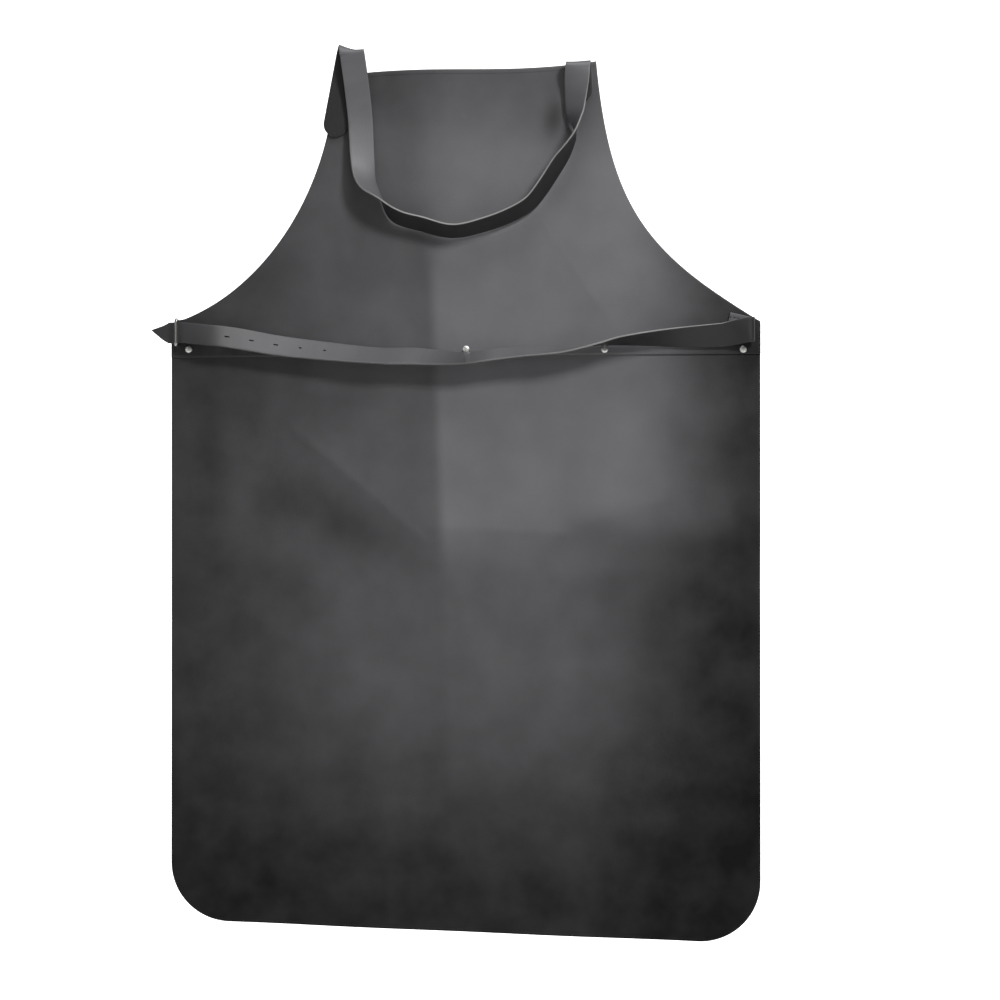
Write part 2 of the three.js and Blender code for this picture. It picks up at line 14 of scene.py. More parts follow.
import bmesh
import bpy
import numpy as np
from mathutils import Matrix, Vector

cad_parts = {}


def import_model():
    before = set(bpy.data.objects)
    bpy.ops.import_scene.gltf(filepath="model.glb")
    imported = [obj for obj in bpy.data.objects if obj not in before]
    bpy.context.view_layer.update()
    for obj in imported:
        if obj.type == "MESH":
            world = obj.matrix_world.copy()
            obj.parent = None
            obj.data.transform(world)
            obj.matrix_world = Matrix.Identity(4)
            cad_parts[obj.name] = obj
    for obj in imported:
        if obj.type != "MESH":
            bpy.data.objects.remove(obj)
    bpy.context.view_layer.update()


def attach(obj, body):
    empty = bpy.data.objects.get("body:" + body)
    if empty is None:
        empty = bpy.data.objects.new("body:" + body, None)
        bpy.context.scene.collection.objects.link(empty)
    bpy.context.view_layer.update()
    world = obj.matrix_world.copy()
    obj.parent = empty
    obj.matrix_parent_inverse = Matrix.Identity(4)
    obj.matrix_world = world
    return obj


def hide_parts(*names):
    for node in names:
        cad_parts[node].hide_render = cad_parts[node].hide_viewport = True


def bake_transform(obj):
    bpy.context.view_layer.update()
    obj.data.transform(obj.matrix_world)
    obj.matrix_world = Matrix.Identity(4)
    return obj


log = logging.getLogger("apron")
MM = 0.001
BIB_FRONT = -1.6  # Y of the bib's front face
RIVET_Z = -288.4
RIVET_REACH = 285.2  # X of the outer rivets
STRAP_WIDE = 25.4
STRAP_THICK = 2.0
STANDING_GAP = 1.2  # between the bib and a strap that stands on its edge


# ---------------------------------------------------------------- shared helpers


def linear(hex_colour: str) -> tuple[float, float, float, float]:
    """Turns an sRGB colour to linear light.

    Args:
        hex_colour: the colour as "#rrggbb".

    Returns:
        Red, green, blue and an alpha of 1.
    """
    values = [int(hex_colour[i : i + 2], 16) / 255 for i in (1, 3, 5)]
    red, green, blue = (v / 12.92 if v <= 0.04045 else ((v + 0.055) / 1.055) ** 2.4 for v in values)
    return red, green, blue, 1.0


def feed(tree: bpy.types.NodeTree, node: bpy.types.Node, inputs: dict) -> None:
    """Sets a node's inputs, each by a value or by the output socket to link from."""
    for name, value in inputs.items():
        if isinstance(value, bpy.types.NodeSocket):
            tree.links.new(value, node.inputs[name])
        else:
            node.inputs[name].default_value = value


def add_node(
    tree: bpy.types.NodeTree, kind: str, inputs: dict | None = None, **settings: object
) -> bpy.types.Node:
    """Adds one node with its inputs, as feed takes them, and its own properties as settings."""
    node = tree.nodes.new(kind)
    for name, value in settings.items():
        setattr(node, name, value)
    feed(tree, node, inputs or {})
    return node


def stored(tree: bpy.types.NodeTree, name: str) -> bpy.types.NodeSocket:
    """One of the mesh's point attributes."""
    return add_node(tree, "ShaderNodeAttribute", attribute_name=name).outputs["Fac"]


def maths(tree: bpy.types.NodeTree, operation: str, *values, clamp: bool = False) -> bpy.types.NodeSocket:
    """One step of arithmetic on sockets and numbers."""
    inputs = dict(enumerate(values))
    return add_node(tree, "ShaderNodeMath", inputs, operation=operation, use_clamp=clamp).outputs[0]


def vector(tree: bpy.types.NodeTree, *values) -> bpy.types.NodeSocket:
    """A vector put together from sockets and numbers."""
    return add_node(tree, "ShaderNodeCombineXYZ", dict(enumerate(values))).outputs[0]


def mixed(tree: bpy.types.NodeTree, share, first, second, blend: str = "MIX") -> bpy.types.NodeSocket:
    """Two colours mixed; share is how much there is of the second."""
    inputs = {0: share, 6: first, 7: second}
    return add_node(tree, "ShaderNodeMix", inputs, data_type="RGBA", blend_type=blend).outputs[2]


def mixed_number(tree: bpy.types.NodeTree, share, first, second) -> bpy.types.NodeSocket:
    """Two numbers mixed; share is how much there is of the second."""
    return add_node(tree, "ShaderNodeMix", {0: share, 2: first, 3: second}, data_type="FLOAT").outputs[0]


def ranged(tree: bpy.types.NodeTree, value, old: tuple, new: tuple) -> bpy.types.NodeSocket:
    """A value mapped from one range to another, and held at both ends."""
    inputs = {"Value": value, "From Min": old[0], "From Max": old[1], "To Min": new[0], "To Max": new[1]}
    return add_node(tree, "ShaderNodeMapRange", inputs).outputs[0]


def noise(tree: bpy.types.NodeTree, at, scale: float, detail: float = 3.0) -> bpy.types.NodeSocket:
    """A cloudy noise; scale is about how many clouds there are in a metre."""
    inputs = {"Vector": at, "Scale": scale, "Detail": detail}
    return add_node(tree, "ShaderNodeTexNoise", inputs).outputs["Fac"]


def bumped(tree: bpy.types.NodeTree, height, strength: float, distance: float) -> bpy.types.NodeSocket:
    """A normal that a height roughens; distance is in metres."""
    inputs = {"Strength": strength, "Distance": distance, "Height": height}
    return add_node(tree, "ShaderNodeBump", inputs).outputs["Normal"]


def start_material(name: str) -> tuple[bpy.types.Material, bpy.types.NodeTree, bpy.types.Node]:
    """Starts a material, and returns it with its node tree and its shader."""
    made = bpy.data.materials.new(name)
    made.use_nodes = True
    return made, made.node_tree, made.node_tree.nodes["Principled BSDF"]


def smooth(values: np.ndarray, low: float, high: float) -> np.ndarray:
    """A soft step from 0 at low to 1 at high; low may be the larger of the two."""
    t = np.clip((values - low) / (high - low), 0, 1)
    return t * t * (3 - 2 * t)


def run_along(points: np.ndarray) -> np.ndarray:
    """The length run so far at each point of a line."""
    return np.concatenate([[0], np.cumsum(np.linalg.norm(np.diff(points, axis=0), axis=1))])


def read_line(at: np.ndarray, run: np.ndarray, points: np.ndarray) -> np.ndarray:
    """The places on a line at the given lengths; run is as run_along gives it."""
    return np.stack([np.interp(at, run, points[:, k]) for k in range(points.shape[1])], 1)


def catmull_rom(points: np.ndarray, shares: np.ndarray) -> np.ndarray:
    """Points on a centripetal Catmull-Rom curve, one for each share, from 0 to 1 over its spans."""
    padded = np.vstack([2 * points[0] - points[1], points, 2 * points[-1] - points[-2]])
    spans = len(points) - 1
    made = []
    for share in shares:
        i = min(int(share * spans), spans - 1)
        w = share * spans - i
        p = padded[i : i + 4]
        d = [max(np.linalg.norm(p[k + 1] - p[k]) ** 0.5, 1e-4) for k in range(3)]
        t1 = ((p[1] - p[0]) / d[0] - (p[2] - p[0]) / (d[0] + d[1]) + (p[2] - p[1]) / d[1]) * d[1]
        t2 = ((p[2] - p[1]) / d[1] - (p[3] - p[1]) / (d[1] + d[2]) + (p[3] - p[2]) / d[2]) * d[1]
        bend = 2 * p[1] - 2 * p[2] + t1 + t2
        lean = 3 * p[2] - 3 * p[1] - 2 * t1 - t2
        made.append(p[1] + t1 * w + lean * w**2 + bend * w**3)
    return np.array(made)


def mesh_object(name: str, points: np.ndarray, faces: list, material: bpy.types.Material) -> bpy.types.Object:
    """Makes a mesh object whose faces all point out.

    Args:
        name: the piece's name.
        points: its points in millimetres.
        faces: for each face, the numbers of its points.
        material: what it is made of.

    Returns:
        The object, linked to the scene.
    """
    mesh = bpy.data.meshes.new(name)
    mesh.from_pydata((np.asarray(points) * MM).tolist(), [], faces)
    shell = bmesh.new()
    shell.from_mesh(mesh)
    bmesh.ops.recalc_face_normals(shell, faces=shell.faces)
    shell.to_mesh(mesh)
    shell.free()
    mesh.materials.append(material)
    made = bpy.data.objects.new(name, mesh)
    bpy.context.scene.collection.objects.link(made)
    return made


def shade(mesh: bpy.types.Mesh, sharp_over: float) -> None:
    """Shades a mesh smoothly, apart from edges that turn by more than the given degrees."""
    mesh.shade_smooth()
    mesh.set_sharp_from_angle(angle=math.radians(sharp_over))


def point_attribute(mesh: bpy.types.Mesh, name: str, values: np.ndarray) -> None:
    """Stores one number for each point of a mesh, for its material to read."""
    attribute = mesh.attributes.new(name, "FLOAT", "POINT")
    attribute.data.foreach_set("value", np.asarray(values, np.float32))


# ---------------------------------------------------------------- finishes


@dataclass(frozen=True)
class PanelLeather:
    """Smooth black side leather, dyed through, plated and satin finished.

    Plating presses the grain nearly flat, so the eye gets a soft broad sheen, a fine even pebble, and
    cloudy lighter places where the finish is worn or stretched. The cut edges are raw fibre.
    """

    dark: str = "#080606"
    light: str = "#868689"
    raw_edge: str = "#4c4b4a"
    grain_mm: float = 1.5  # real pebble is about 0.8 mm; drawn coarser so that it shows
    cloud_mm: float = 46.0
    groove_mm: float = 4.6  # a line pressed along the bib's top edge, this far below it; the groove's shade is painted as a darker line
    roughness: float = 0.46
    gloss: float = 0.2

    clouds: tuple[float, float] = (0.3, 0.7)  # the part of the noise's range that is used
    cloud_depth: float = 0.035
    groove_half: float = 0.35
    groove_painted_shade: float = 0.35
    edge_roughness: float = 0.85

    def material(self) -> bpy.types.Material:
        """Builds the leather's material from point attributes: the tone, with painted light and shade on the
        front, the edge and the depth below the top.
        """
        made, tree, shader = start_material("plated_side_leather")
        at = add_node(tree, "ShaderNodeTexCoord").outputs["Object"]
        edge = stored(tree, "edge")
        cloud = noise(tree, at, 1000 / self.cloud_mm, 4.0)
        shift = ranged(tree, cloud, self.clouds, (-self.cloud_depth, self.cloud_depth))
        # the point tone carries the front's painted light and shade; the clouds add random tone
        level = maths(tree, "ADD", stored(tree, "tone_and_painted_light"), shift, clamp=True)
        dye_and_painted_light = mixed(tree, level, linear(self.dark), linear(self.light))
        colour = mixed(tree, edge, dye_and_painted_light, linear(self.raw_edge))
        # painted shade: the mesh has no groove, so a darker line is painted where the pressed groove would
        # shade
        groove = maths(tree, "COMPARE", stored(tree, "below_top"), self.groove_mm, self.groove_half)
        faint = maths(tree, "MULTIPLY", groove, self.groove_painted_shade)
        pebble = add_node(
            tree, "ShaderNodeTexVoronoi", {"Vector": at, "Scale": 1000 / self.grain_mm}, feature="SMOOTH_F1"
        )
        relief = maths(tree, "ADD", pebble.outputs["Distance"], noise(tree, at, 1400.0, 2.0))
        rough = ranged(tree, cloud, self.clouds, (self.roughness - 0.04, self.roughness + 0.04))
        looks = {
            "Base Color": mixed(tree, faint, colour, linear(self.dark)),
            "Normal": bumped(tree, relief, 0.2, 0.0003),
            "Roughness": mixed_number(tree, edge, rough, self.edge_roughness),
        }
        feed(tree, shader, looks)
        shader.inputs["Specular IOR Level"].default_value = self.gloss
        return made


@dataclass(frozen=True)
class StrapLeather:
    """Black strap leather cut from a bend: a smooth grain side, a greyer flesh side, pale cut edges.

    The flesh side is shaved and waxed, so it shows short fibres along the strap and more light than
    the grain side. The edges are sanded but not dyed, so they show as a thin pale line; where an edge lies in
    shade, that shade is painted into its paleness.
    """

    grain_side: str = "#1e1e20"
    flesh_side: str = "#5c5c5f"
    raw_edge: str = "#8d8d8c"
    fibre_mm: float = 0.9  # real fibres are about 0.2 mm; drawn coarser so that they show
    roughness: float = 0.5

    edge_roughness: float = 0.8
    clouds: tuple[float, float] = (0.3, 0.7)
    wear: tuple[float, float] = (0.86, 1.1)  # how much light the dullest and the brightest clouds keep

    def material(self) -> bpy.types.Material:
        """Builds the strap's material; it reads the UV map and point attributes for the edge, the flesh side
        and the painted shade along the strap.
        """
        made, tree, shader = start_material("bend_strap_leather")
        along = add_node(tree, "ShaderNodeUVMap", uv_map="strap").outputs["UV"]
        stretched = add_node(tree, "ShaderNodeMapping", {"Vector": along, "Scale": (0.3, 1.0, 1.0)})
        edge = stored(tree, "edge")
        fibre = noise(tree, stretched.outputs[0], 1000 / self.fibre_mm)
        side = mixed(tree, stored(tree, "flesh"), linear(self.grain_side), linear(self.flesh_side))
        colour = mixed(tree, edge, side, linear(self.raw_edge))
        wear = ranged(tree, noise(tree, along, 28.0), self.clouds, self.wear)
        # random wear clouds, times the painted shade along the strap
        kept = maths(tree, "MULTIPLY", wear, stored(tree, "painted_shade"))
        looks = {
            "Base Color": mixed(tree, 1.0, colour, kept, "MULTIPLY"),
            "Normal": bumped(tree, fibre, 0.3, 0.0003),
            "Roughness": mixed_number(tree, edge, self.roughness, self.edge_roughness),
        }
        feed(tree, shader, looks)
        return made


@dataclass(frozen=True)
class Metal:
    """A bare metal: its colour and how its surface was worked."""

    name: str
    colour: str
    roughness: float
    mark_mm: float  # spacing of the marks that the work left
    mark_depth: float

    def material(self) -> bpy.types.Material:
        """Builds the metal's material, with faint working marks."""
        made, tree, shader = start_material(self.name)
        at = add_node(tree, "ShaderNodeTexCoord").outputs["Object"]
        marks = noise(tree, at, 1000 / self.mark_mm)
        looks = {
            "Base Color": linear(self.colour),
            "Metallic": 1.0,
            "Roughness": ranged(tree, marks, (0.25, 0.75), (self.roughness * 0.8, self.roughness * 1.25)),
            "Normal": bumped(tree, marks, self.mark_depth, 0.0001),
        }
        feed(tree, shader, looks)
        return made


@dataclass(frozen=True)
class WaxedThread:
    """Black waxed polyester thread, braided: dull, with a slight gleam painted on its crowns as a lighter
    colour.
    """

    colour: str = "#19191a"
    # painted gleam: the braid's crowns are coloured lighter
    painted_crown_gleam: str = "#2b2b2c"
    twist_mm: float = 0.9
    roughness: float = 0.55

    def material(self) -> bpy.types.Material:
        """Builds the thread's material, with its braid as fine ribs."""
        made, tree, shader = start_material("waxed_polyester_thread")
        at = add_node(tree, "ShaderNodeTexCoord").outputs["Object"]
        inputs = {"Vector": at, "Scale": 1000 / self.twist_mm / 2, "Distortion": 0.5}
        ribs = add_node(tree, "ShaderNodeTexWave", inputs, bands_direction="DIAGONAL").outputs["Fac"]
        looks = {
            "Base Color": mixed(tree, ribs, linear(self.colour), linear(self.painted_crown_gleam)),
            "Normal": bumped(tree, ribs, 0.4, 0.0001),
            "Roughness": self.roughness,
        }
        feed(tree, shader, looks)
        return made


# ---------------------------------------------------------------- panels


@dataclass(frozen=True)
class Fold:
    """A crease that stands forward, with a shallow hollow along each side of it."""

    start: tuple[float, float]
    end: tuple[float, float]
    depth: float
    left: float  # distance to the deepest place, on the left of start to end
    right: float
    fade: float = 40.0
    soft: float = 0.0  # how rounded its crest is at its start, as a share of left and right

    def hollow(self, x: np.ndarray, z: np.ndarray) -> np.ndarray:
        """How far the fold sets the leather back at each place."""
        dx, dz = self.end[0] - self.start[0], self.end[1] - self.start[1]
        length = math.hypot(dx, dz)
        along = ((x - self.start[0]) * dx + (z - self.start[1]) * dz) / length
        across = ((z - self.start[1]) * dx - (x - self.start[0]) * dz) / length
        s = np.abs(across) / np.where(across > 0, self.left, self.right)
        crest = self.soft * smooth(along, 0.6 * length, 0.2 * length)
        s = np.sqrt(s * s + crest * crest) - crest
        near, far = (smooth(run, -self.fade, 0.3 * self.fade) for run in (along, length - along))
        return self.depth * s * np.exp(1 - s) * near * far


@dataclass(frozen=True)
class Patch:
    """A soft round place on a panel: a swell of the leather, or a patch of painted light or painted shade."""

    x: float
    z: float
    across: float
    down: float
    amount: float
    turn: float = 0.0

    def at(self, x: np.ndarray, z: np.ndarray) -> np.ndarray:
        """The patch's amount at each place."""
        c, s = math.cos(math.radians(self.turn)), math.sin(math.radians(self.turn))
        u = ((x - self.x) * c + (z - self.z) * s) / self.across
        v = ((z - self.z) * c - (x - self.x) * s) / self.down
        return self.amount * np.exp(-(u * u + v * v))


@dataclass(frozen=True)
class Armhole:
    """One hand-cut armhole: where it starts, how far it leans out there, and its pull from the ear."""

    depth: float
    flare: float
    reach: float
    lift: float


@dataclass(frozen=True)
class Outline:
    """The sizes of the two cut panels."""

    thickness: float = 1.6
    laid_gap: float = 0.3
    width: float = 606.0
    bib_top: float = 268.0
    top_rise: float = 16.0
    bib_depth: float = 297.0
    ear_height: float = 39.0
    lap_rise: float = 4.0
    lap: float = 18.0
    skirt_depth: float = 591.0
    hem_fall: float = 26.0
    hem_corner: float = 62.0
    left_corner: float = 12.0
    right_corner: float = 3.0
    top_swell: float = 9.5
    left_armhole: Armhole = Armhole(135, 8, 78, 30)
    right_armhole: Armhole = Armhole(145, 14, 112, 69)

    @property
    def half(self) -> float:
        """Half the apron's width."""
        return self.width / 2

    def top_edge(self, x: float) -> float:
        """Height of the bib's sloping top edge."""
        return self.top_rise * x / self.bib_top

    def lap_edge(self, x: float) -> float:
        """Height of the bib's lower edge."""
        return -self.bib_depth + self.lap_rise * (x / self.width + 0.5)

    def hem(self, x: float) -> float:
        """Height of the skirt's lower edge."""
        return -self.bib_depth - self.skirt_depth - self.hem_fall * x / self.width

    def bib_side(self, side: int) -> np.ndarray:
        """The bib's side from its top corner, round the armhole and down the ear.

        Args:
            side: 1 for the right side and -1 for the left.

        Returns:
            Points with X and Z.
        """
        corner = self.right_corner if side > 0 else self.left_corner
        armhole = self.right_armhole if side > 0 else self.left_armhole
        ear = -self.bib_depth + self.ear_height
        top, out = self.bib_top / 2, self.half - corner
        hull = np.array(
            [
                (top, self.top_edge(side * top)),
                (top + armhole.flare, -armhole.depth),
                (out - armhole.reach, ear + armhole.lift),
                (out, ear),
            ]
        )
        t = np.linspace(0, 1, 160)[:, None]
        sweep = (1 - t) ** 3 * hull[0] + 3 * t * (1 - t) ** 2 * hull[1]
        sweep = sweep + 3 * t**2 * (1 - t) * hull[2] + t**3 * hull[3]
        t = np.linspace(0, 1, 24)[1:, None]
        square, below = np.array((self.half, ear)), np.array((self.half, ear - corner))
        turn = (1 - t) ** 2 * hull[3] + 2 * t * (1 - t) * square + t**2 * below
        foot = np.array([(self.half, self.lap_edge(side * self.half))])
        points = np.vstack([sweep, turn, foot])
        points[:, 0] *= side
        return points

    def skirt_side(self, side: int) -> np.ndarray:
        """The skirt's side from the lap down and round the hem's corner; side as in bib_side."""
        inner = self.half - self.hem_corner
        low = self.hem(side * inner)
        start = np.array([(self.half, self.lap_edge(side * self.half) + self.lap)])
        turn = np.linspace(0, math.pi / 2, 40)
        round_x = inner + self.hem_corner * np.cos(turn)
        round_z = low + self.hem_corner * (1 - np.sin(turn))
        points = np.vstack([start, np.stack([round_x, round_z], 1)])
        points[:, 0] *= side
        return points


@dataclass
class Panels:
    """The bib and the skirt: two sheets of leather that share one gentle relief, so they stay lapped."""

    outline: Outline
    leather: bpy.types.Material
    rivets: np.ndarray
    rim: float = 0.35  # how far the cut edge is rounded
    rivet_hold: float = 16.0  # how far round it a rivet holds the leather flat
    lap_z: float = -288.0
    lap_reach: float = 26.0
    lap_hold: float = 0.75
    drape_span: tuple[float, float] = (420.0, 820.0)  # depths over which the lower skirt starts to wave
    # the waves: size, the width and the height that each is spread over, and its start
    waves: tuple[tuple[float, float, float, float], ...] = ((1.3, 34, 190, 0), (0.9, 57, -260, 1.3))
    forward: tuple[float, float] = (0.5, 4.0)  # how far forward it may stand, and how much more low down
    forward_span: tuple[float, float] = (320.0, 400.0)
    painted_light_middle: float = 0.4  # painted light in the middle of the bib; the falls of painted shade below are shares of it
    turned_away: float = 0.2
    left_fall: float = 0.35
    right_fall: float = 0.6
    top_fall: float = 0.25
    skirt_fall: float = 0.2
    hem_fall: float = 0.6
    flesh_side: float = 0.06  # the back is an even, dull nap
    left_span: tuple[float, float] = (-60.0, -310.0)  # X between which each side is painted darker
    right_span: tuple[float, float] = (160.0, 310.0)
    right_widening: float = 80.0  # how much nearer the middle it starts on the skirt
    top_span: tuple[float, float] = (110.0, 0.0)  # and depths for the rest
    below_span: tuple[float, float] = (460.0, 540.0)
    hem_span: tuple[float, float] = (600.0, 920.0)
    crease_blur: tuple[float, float] = (8.0, 50.0)  # of the painted shade's edge at the long crease, and how much more at its top
    crease_top: tuple[float, float] = (220.0, 60.0)
    folds: tuple[Fold, ...] = (
        Fold((-44, 30), (-26, -468), 1.6, 70, 45, soft=0.8),
        Fold((-27, -472), (100, -478), 1.8, 40, 34, 24),
        Fold((100, -478), (232, -432), 1.5, 36, 40, 24),
        Fold((-176, -372), (-52, -478), 2.2, 34, 30, 30),
        Fold((-20, -500), (20, -640), 0.9, 40, 40),
        Fold((195, -330), (60, -130), 0.7, 50, 50),
    )
    swells: tuple[Patch, ...] = (
        Patch(256, -462, 46, 40, -2.4),
        Patch(270, -530, 60, 26, 1.8, 14),
        Patch(-234, -440, 20, 46, -1.3),
        Patch(56, -600, 16, 9, 0.9, 25),
        Patch(-130, -640, 60, 120, -1.2, 20),
        Patch(120, -700, 80, 140, -1.4, -12),
        Patch(-220, -770, 60, 110, 1.2),
        Patch(10, -800, 120, 50, 1.0),
        Patch(-200, -262, 50, 22, 1.0, -20),
        Patch(205, -225, 50, 30, 1.0, 35),
    )
    # painted shade and light on the front: the shadow left of the right neck strap, shade along the low
    # folds, and light on two swells
    painted_shades: tuple[Patch, ...] = (
        Patch(-120, -470, 80, 25, -0.25, -25),
        Patch(-235, -440, 20, 50, 0.15),
        Patch(255, -460, 30, 30, 0.1),
        Patch(90, -50, 10, 20, -0.3, -10),
        Patch(150, -480, 80, 25, -0.2),
    )
    fastenings: tuple[tuple[float, float, float], ...] = (
        (-124, -25, 60),
        (114, -25, 52),
        (270, -266, 40),
        (-283, -272, 34),
    )

    def relief(self, x: np.ndarray, z: np.ndarray) -> np.ndarray:
        """How far the leather lies back from its flat place; it is flat at everything fastened to it."""
        x, z = np.asarray(x, float), np.asarray(z, float)
        total = sum(fold.hollow(x, z) for fold in self.folds) + sum(swell.at(x, z) for swell in self.swells)
        waves = [size * np.sin(x / wide + z / tall + start) for size, wide, tall, start in self.waves]
        total = total + smooth(-z, *self.drape_span) * sum(waves)
        for rx, rz in self.rivets:
            total = total * (1 - np.exp(-((x - rx) ** 2 + (z - rz) ** 2) / self.rivet_hold**2))
        for fx, fz, reach in self.fastenings:
            total = total * (1 - np.exp(-(((x - fx) ** 2 + (z - fz) ** 2) / reach**2) ** 2))
        near_lap = np.exp(-(((z - self.lap_z) / self.lap_reach) ** 2))
        total = total * (1 - self.lap_hold * near_lap)
        least, more = self.forward
        return np.maximum(total, -least - more * smooth(-z, *self.forward_span))

    def tone_and_painted_light(self, x: np.ndarray, z: np.ndarray) -> np.ndarray:
        """How light the front is painted, from 0 to 1: painted light and shade.

        It is painted lightest in the middle of the bib and darker to the top, the sides and the hem. Left of
        the long crease the leather turns from the light and is painted darker; that shade's edge is soft at
        its top.
        """
        crease = self.folds[0]
        share = (crease.start[1] - z) / (crease.start[1] - crease.end[1])
        from_crease = x - crease.start[0] - (crease.end[0] - crease.start[0]) * share
        blur = self.crease_blur[0] + self.crease_blur[1] * smooth(-z, *self.crease_top)
        below = smooth(-z, *self.below_span)
        turned = smooth(from_crease / blur, 1, -1) * (1 - 0.8 * below)
        shade = self.painted_light_middle * (1 - self.turned_away * turned)
        shade = shade * (1 - self.left_fall * smooth(x, *self.left_span))
        start, end = self.right_span
        shade = shade * (1 - self.right_fall * smooth(x, start - self.right_widening * below, end))
        shade = shade * (1 - self.top_fall * smooth(-z, *self.top_span))
        shade = shade * (1 - self.skirt_fall * below) * (1 - self.hem_fall * smooth(-z, *self.hem_span))
        for patch in self.painted_shades:
            shade = shade * (1 + patch.at(x, z))
        return np.clip(2 * shade, 0.02, 1) ** 2.2

    def lay_out(
        self, left: np.ndarray, right: np.ndarray, swell: float, rows: int, columns: int
    ) -> tuple[np.ndarray, list, np.ndarray]:
        """Spreads a panel's flat grid between its sides, and draws the border in by the rim.

        Returns:
            The grid, the rows and columns of its border in order, and the border as it was cut.
        """
        sides = []
        for side in (left, right):
            run = run_along(side)
            sides.append(read_line(np.linspace(0, run[-1], rows + 1), run, side))
        share = np.linspace(0, 1, columns + 1)[None, :, None]
        grid = sides[0][:, None] * (1 - share) + sides[1][:, None] * share
        wave = (3 * swell * share * (1 - share) * (1 - 2 * share))[..., 0]
        grid[..., 1] += wave * smooth(np.arange(rows + 1), 0.3 * rows, 0)[:, None]
        loop = [(0, c) for c in range(columns)] + [(r, columns) for r in range(rows)]
        loop += [(rows, c) for c in range(columns, 0, -1)] + [(r, 0) for r in range(rows, 0, -1)]
        border = np.array([grid[r, c] for r, c in loop])
        ahead, behind = np.roll(border, -1, axis=0), np.roll(border, 1, axis=0)
        inward = np.stack([(ahead - behind)[:, 1], -(ahead - behind)[:, 0]], 1)
        inward /= np.linalg.norm(inward, axis=1)[:, None]
        for (r, c), step in zip(loop, inward * self.rim):
            grid[r, c] = grid[r, c] + step
        return grid, loop, border

    @staticmethod
    def close_faces(loop: list, rows: int, columns: int) -> list[list[int]]:
        """The faces of both sides of a grid and of the rounded edge round its border."""
        wide = columns + 1
        count, edge_count = (rows + 1) * wide, len(loop)
        outer, rear = 2 * count, 2 * count + edge_count
        faces = []
        for r in range(rows):
            for c in range(columns):
                first = r * wide + c
                quad = [first, first + 1, first + wide + 1, first + wide]
                faces += [quad, [q + count for q in quad[::-1]]]
        for i, (r, c) in enumerate(loop):
            j = (i + 1) % edge_count
            a, b = r * wide + c, loop[j][0] * wide + loop[j][1]
            faces.append([a, b, outer + j, outer + i])
            faces.append([outer + i, outer + j, rear + j, rear + i])
            faces.append([rear + i, rear + j, b + count, a + count])
        return faces

    def below_top(self, x: np.ndarray, z: np.ndarray, swell: float) -> np.ndarray:
        """How far below the bib's top edge each place is; the skirt, with no swell, is out of reach."""
        level = self.outline.top_edge(x) if swell else 999.0
        across = np.clip(x / self.outline.bib_top + 0.5, 0, 1)
        return level + 3 * swell * across * (1 - across) * (1 - 2 * across) - z

    def sheet(
        self, name: str, sides: tuple, front: float, swell: float, rows: int, columns: int
    ) -> tuple[bpy.types.Object, float]:
        """Makes one panel as a closed thin sheet that follows the relief.

        Args:
            name: the piece's name.
            sides: its left and its right side from top to bottom, with X and Z.
            front: the Y of its front face before the relief.
            swell: how far its top edge's curve is pulled up at the left and down at the right.
            rows: how many rows of faces it has.
            columns: how many faces are in a row.

        Returns:
            The object and the panel's flat area in square metres.
        """
        grid, loop, border = self.lay_out(*sides, swell, rows, columns)
        flat, back = grid.reshape(-1, 2), front + self.outline.thickness
        count = len(flat)
        layers = [(flat, front), (flat, back), (border, front + self.rim), (border, back - self.rim)]
        made = [np.stack([x, y + self.relief(x, z), z], 1) for (x, z), y in ((p.T, y) for p, y in layers)]
        points = np.vstack(made)
        made = mesh_object(name, points, self.close_faces(loop, rows, columns), self.leather)
        shade(made.data, 60)
        # the front's tone is painted light and shade; the back gets an even dull tone
        tone_and_painted_light = self.tone_and_painted_light(points[:, 0], points[:, 2])
        tone_and_painted_light[count : 2 * count] = self.flesh_side
        point_attribute(made.data, "tone_and_painted_light", tone_and_painted_light)
        point_attribute(made.data, "edge", np.arange(len(points)) >= 2 * count)
        point_attribute(made.data, "below_top", self.below_top(points[:, 0], points[:, 2], swell))
        x, z = border.T
        return made, abs(np.sum(x * np.roll(z, -1) - z * np.roll(x, -1))) / 2 * MM * MM

    def build(self) -> list[bpy.types.Object]:
        cut = self.outline
        sides = [(cut_side(-1), cut_side(1)) for cut_side in (cut.bib_side, cut.skirt_side)]
        bib, bib_area = self.sheet("bib_sheet", sides[0], -cut.thickness, cut.top_swell, 120, 190)
        skirt, skirt_area = self.sheet("skirt_sheet", sides[1], cut.laid_gap, 0, 180, 170)
        for piece, node in ((bib, "bib_panel"), (skirt, "skirt_panel")):
            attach(piece, "apron")
            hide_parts(node)
        return [bib, skirt]


# ---------------------------------------------------------------- straps


def width_direction(heading: float, lift: float) -> np.ndarray:
    """A direction for a strap's width: a heading in the apron's plane, lifted towards the front."""
    flat = math.cos(math.radians(lift))
    turn = math.radians(heading)
    return np.array([flat * math.cos(turn), -math.sin(math.radians(lift)), flat * math.sin(turn)])


def standing_y(lift: float, extra: float, width: float = STRAP_WIDE) -> float:
    """The Y of a strap's middle where it stands on the bib on one edge."""
    turn = math.radians(lift)
    deep = width * math.sin(turn) + STRAP_THICK * abs(math.cos(turn))
    return BIB_FRONT - STANDING_GAP - extra - deep / 2


@dataclass(frozen=True)
class Station:
    """A place on a strap: its middle and the direction of its width."""

    at: np.ndarray
    across: np.ndarray


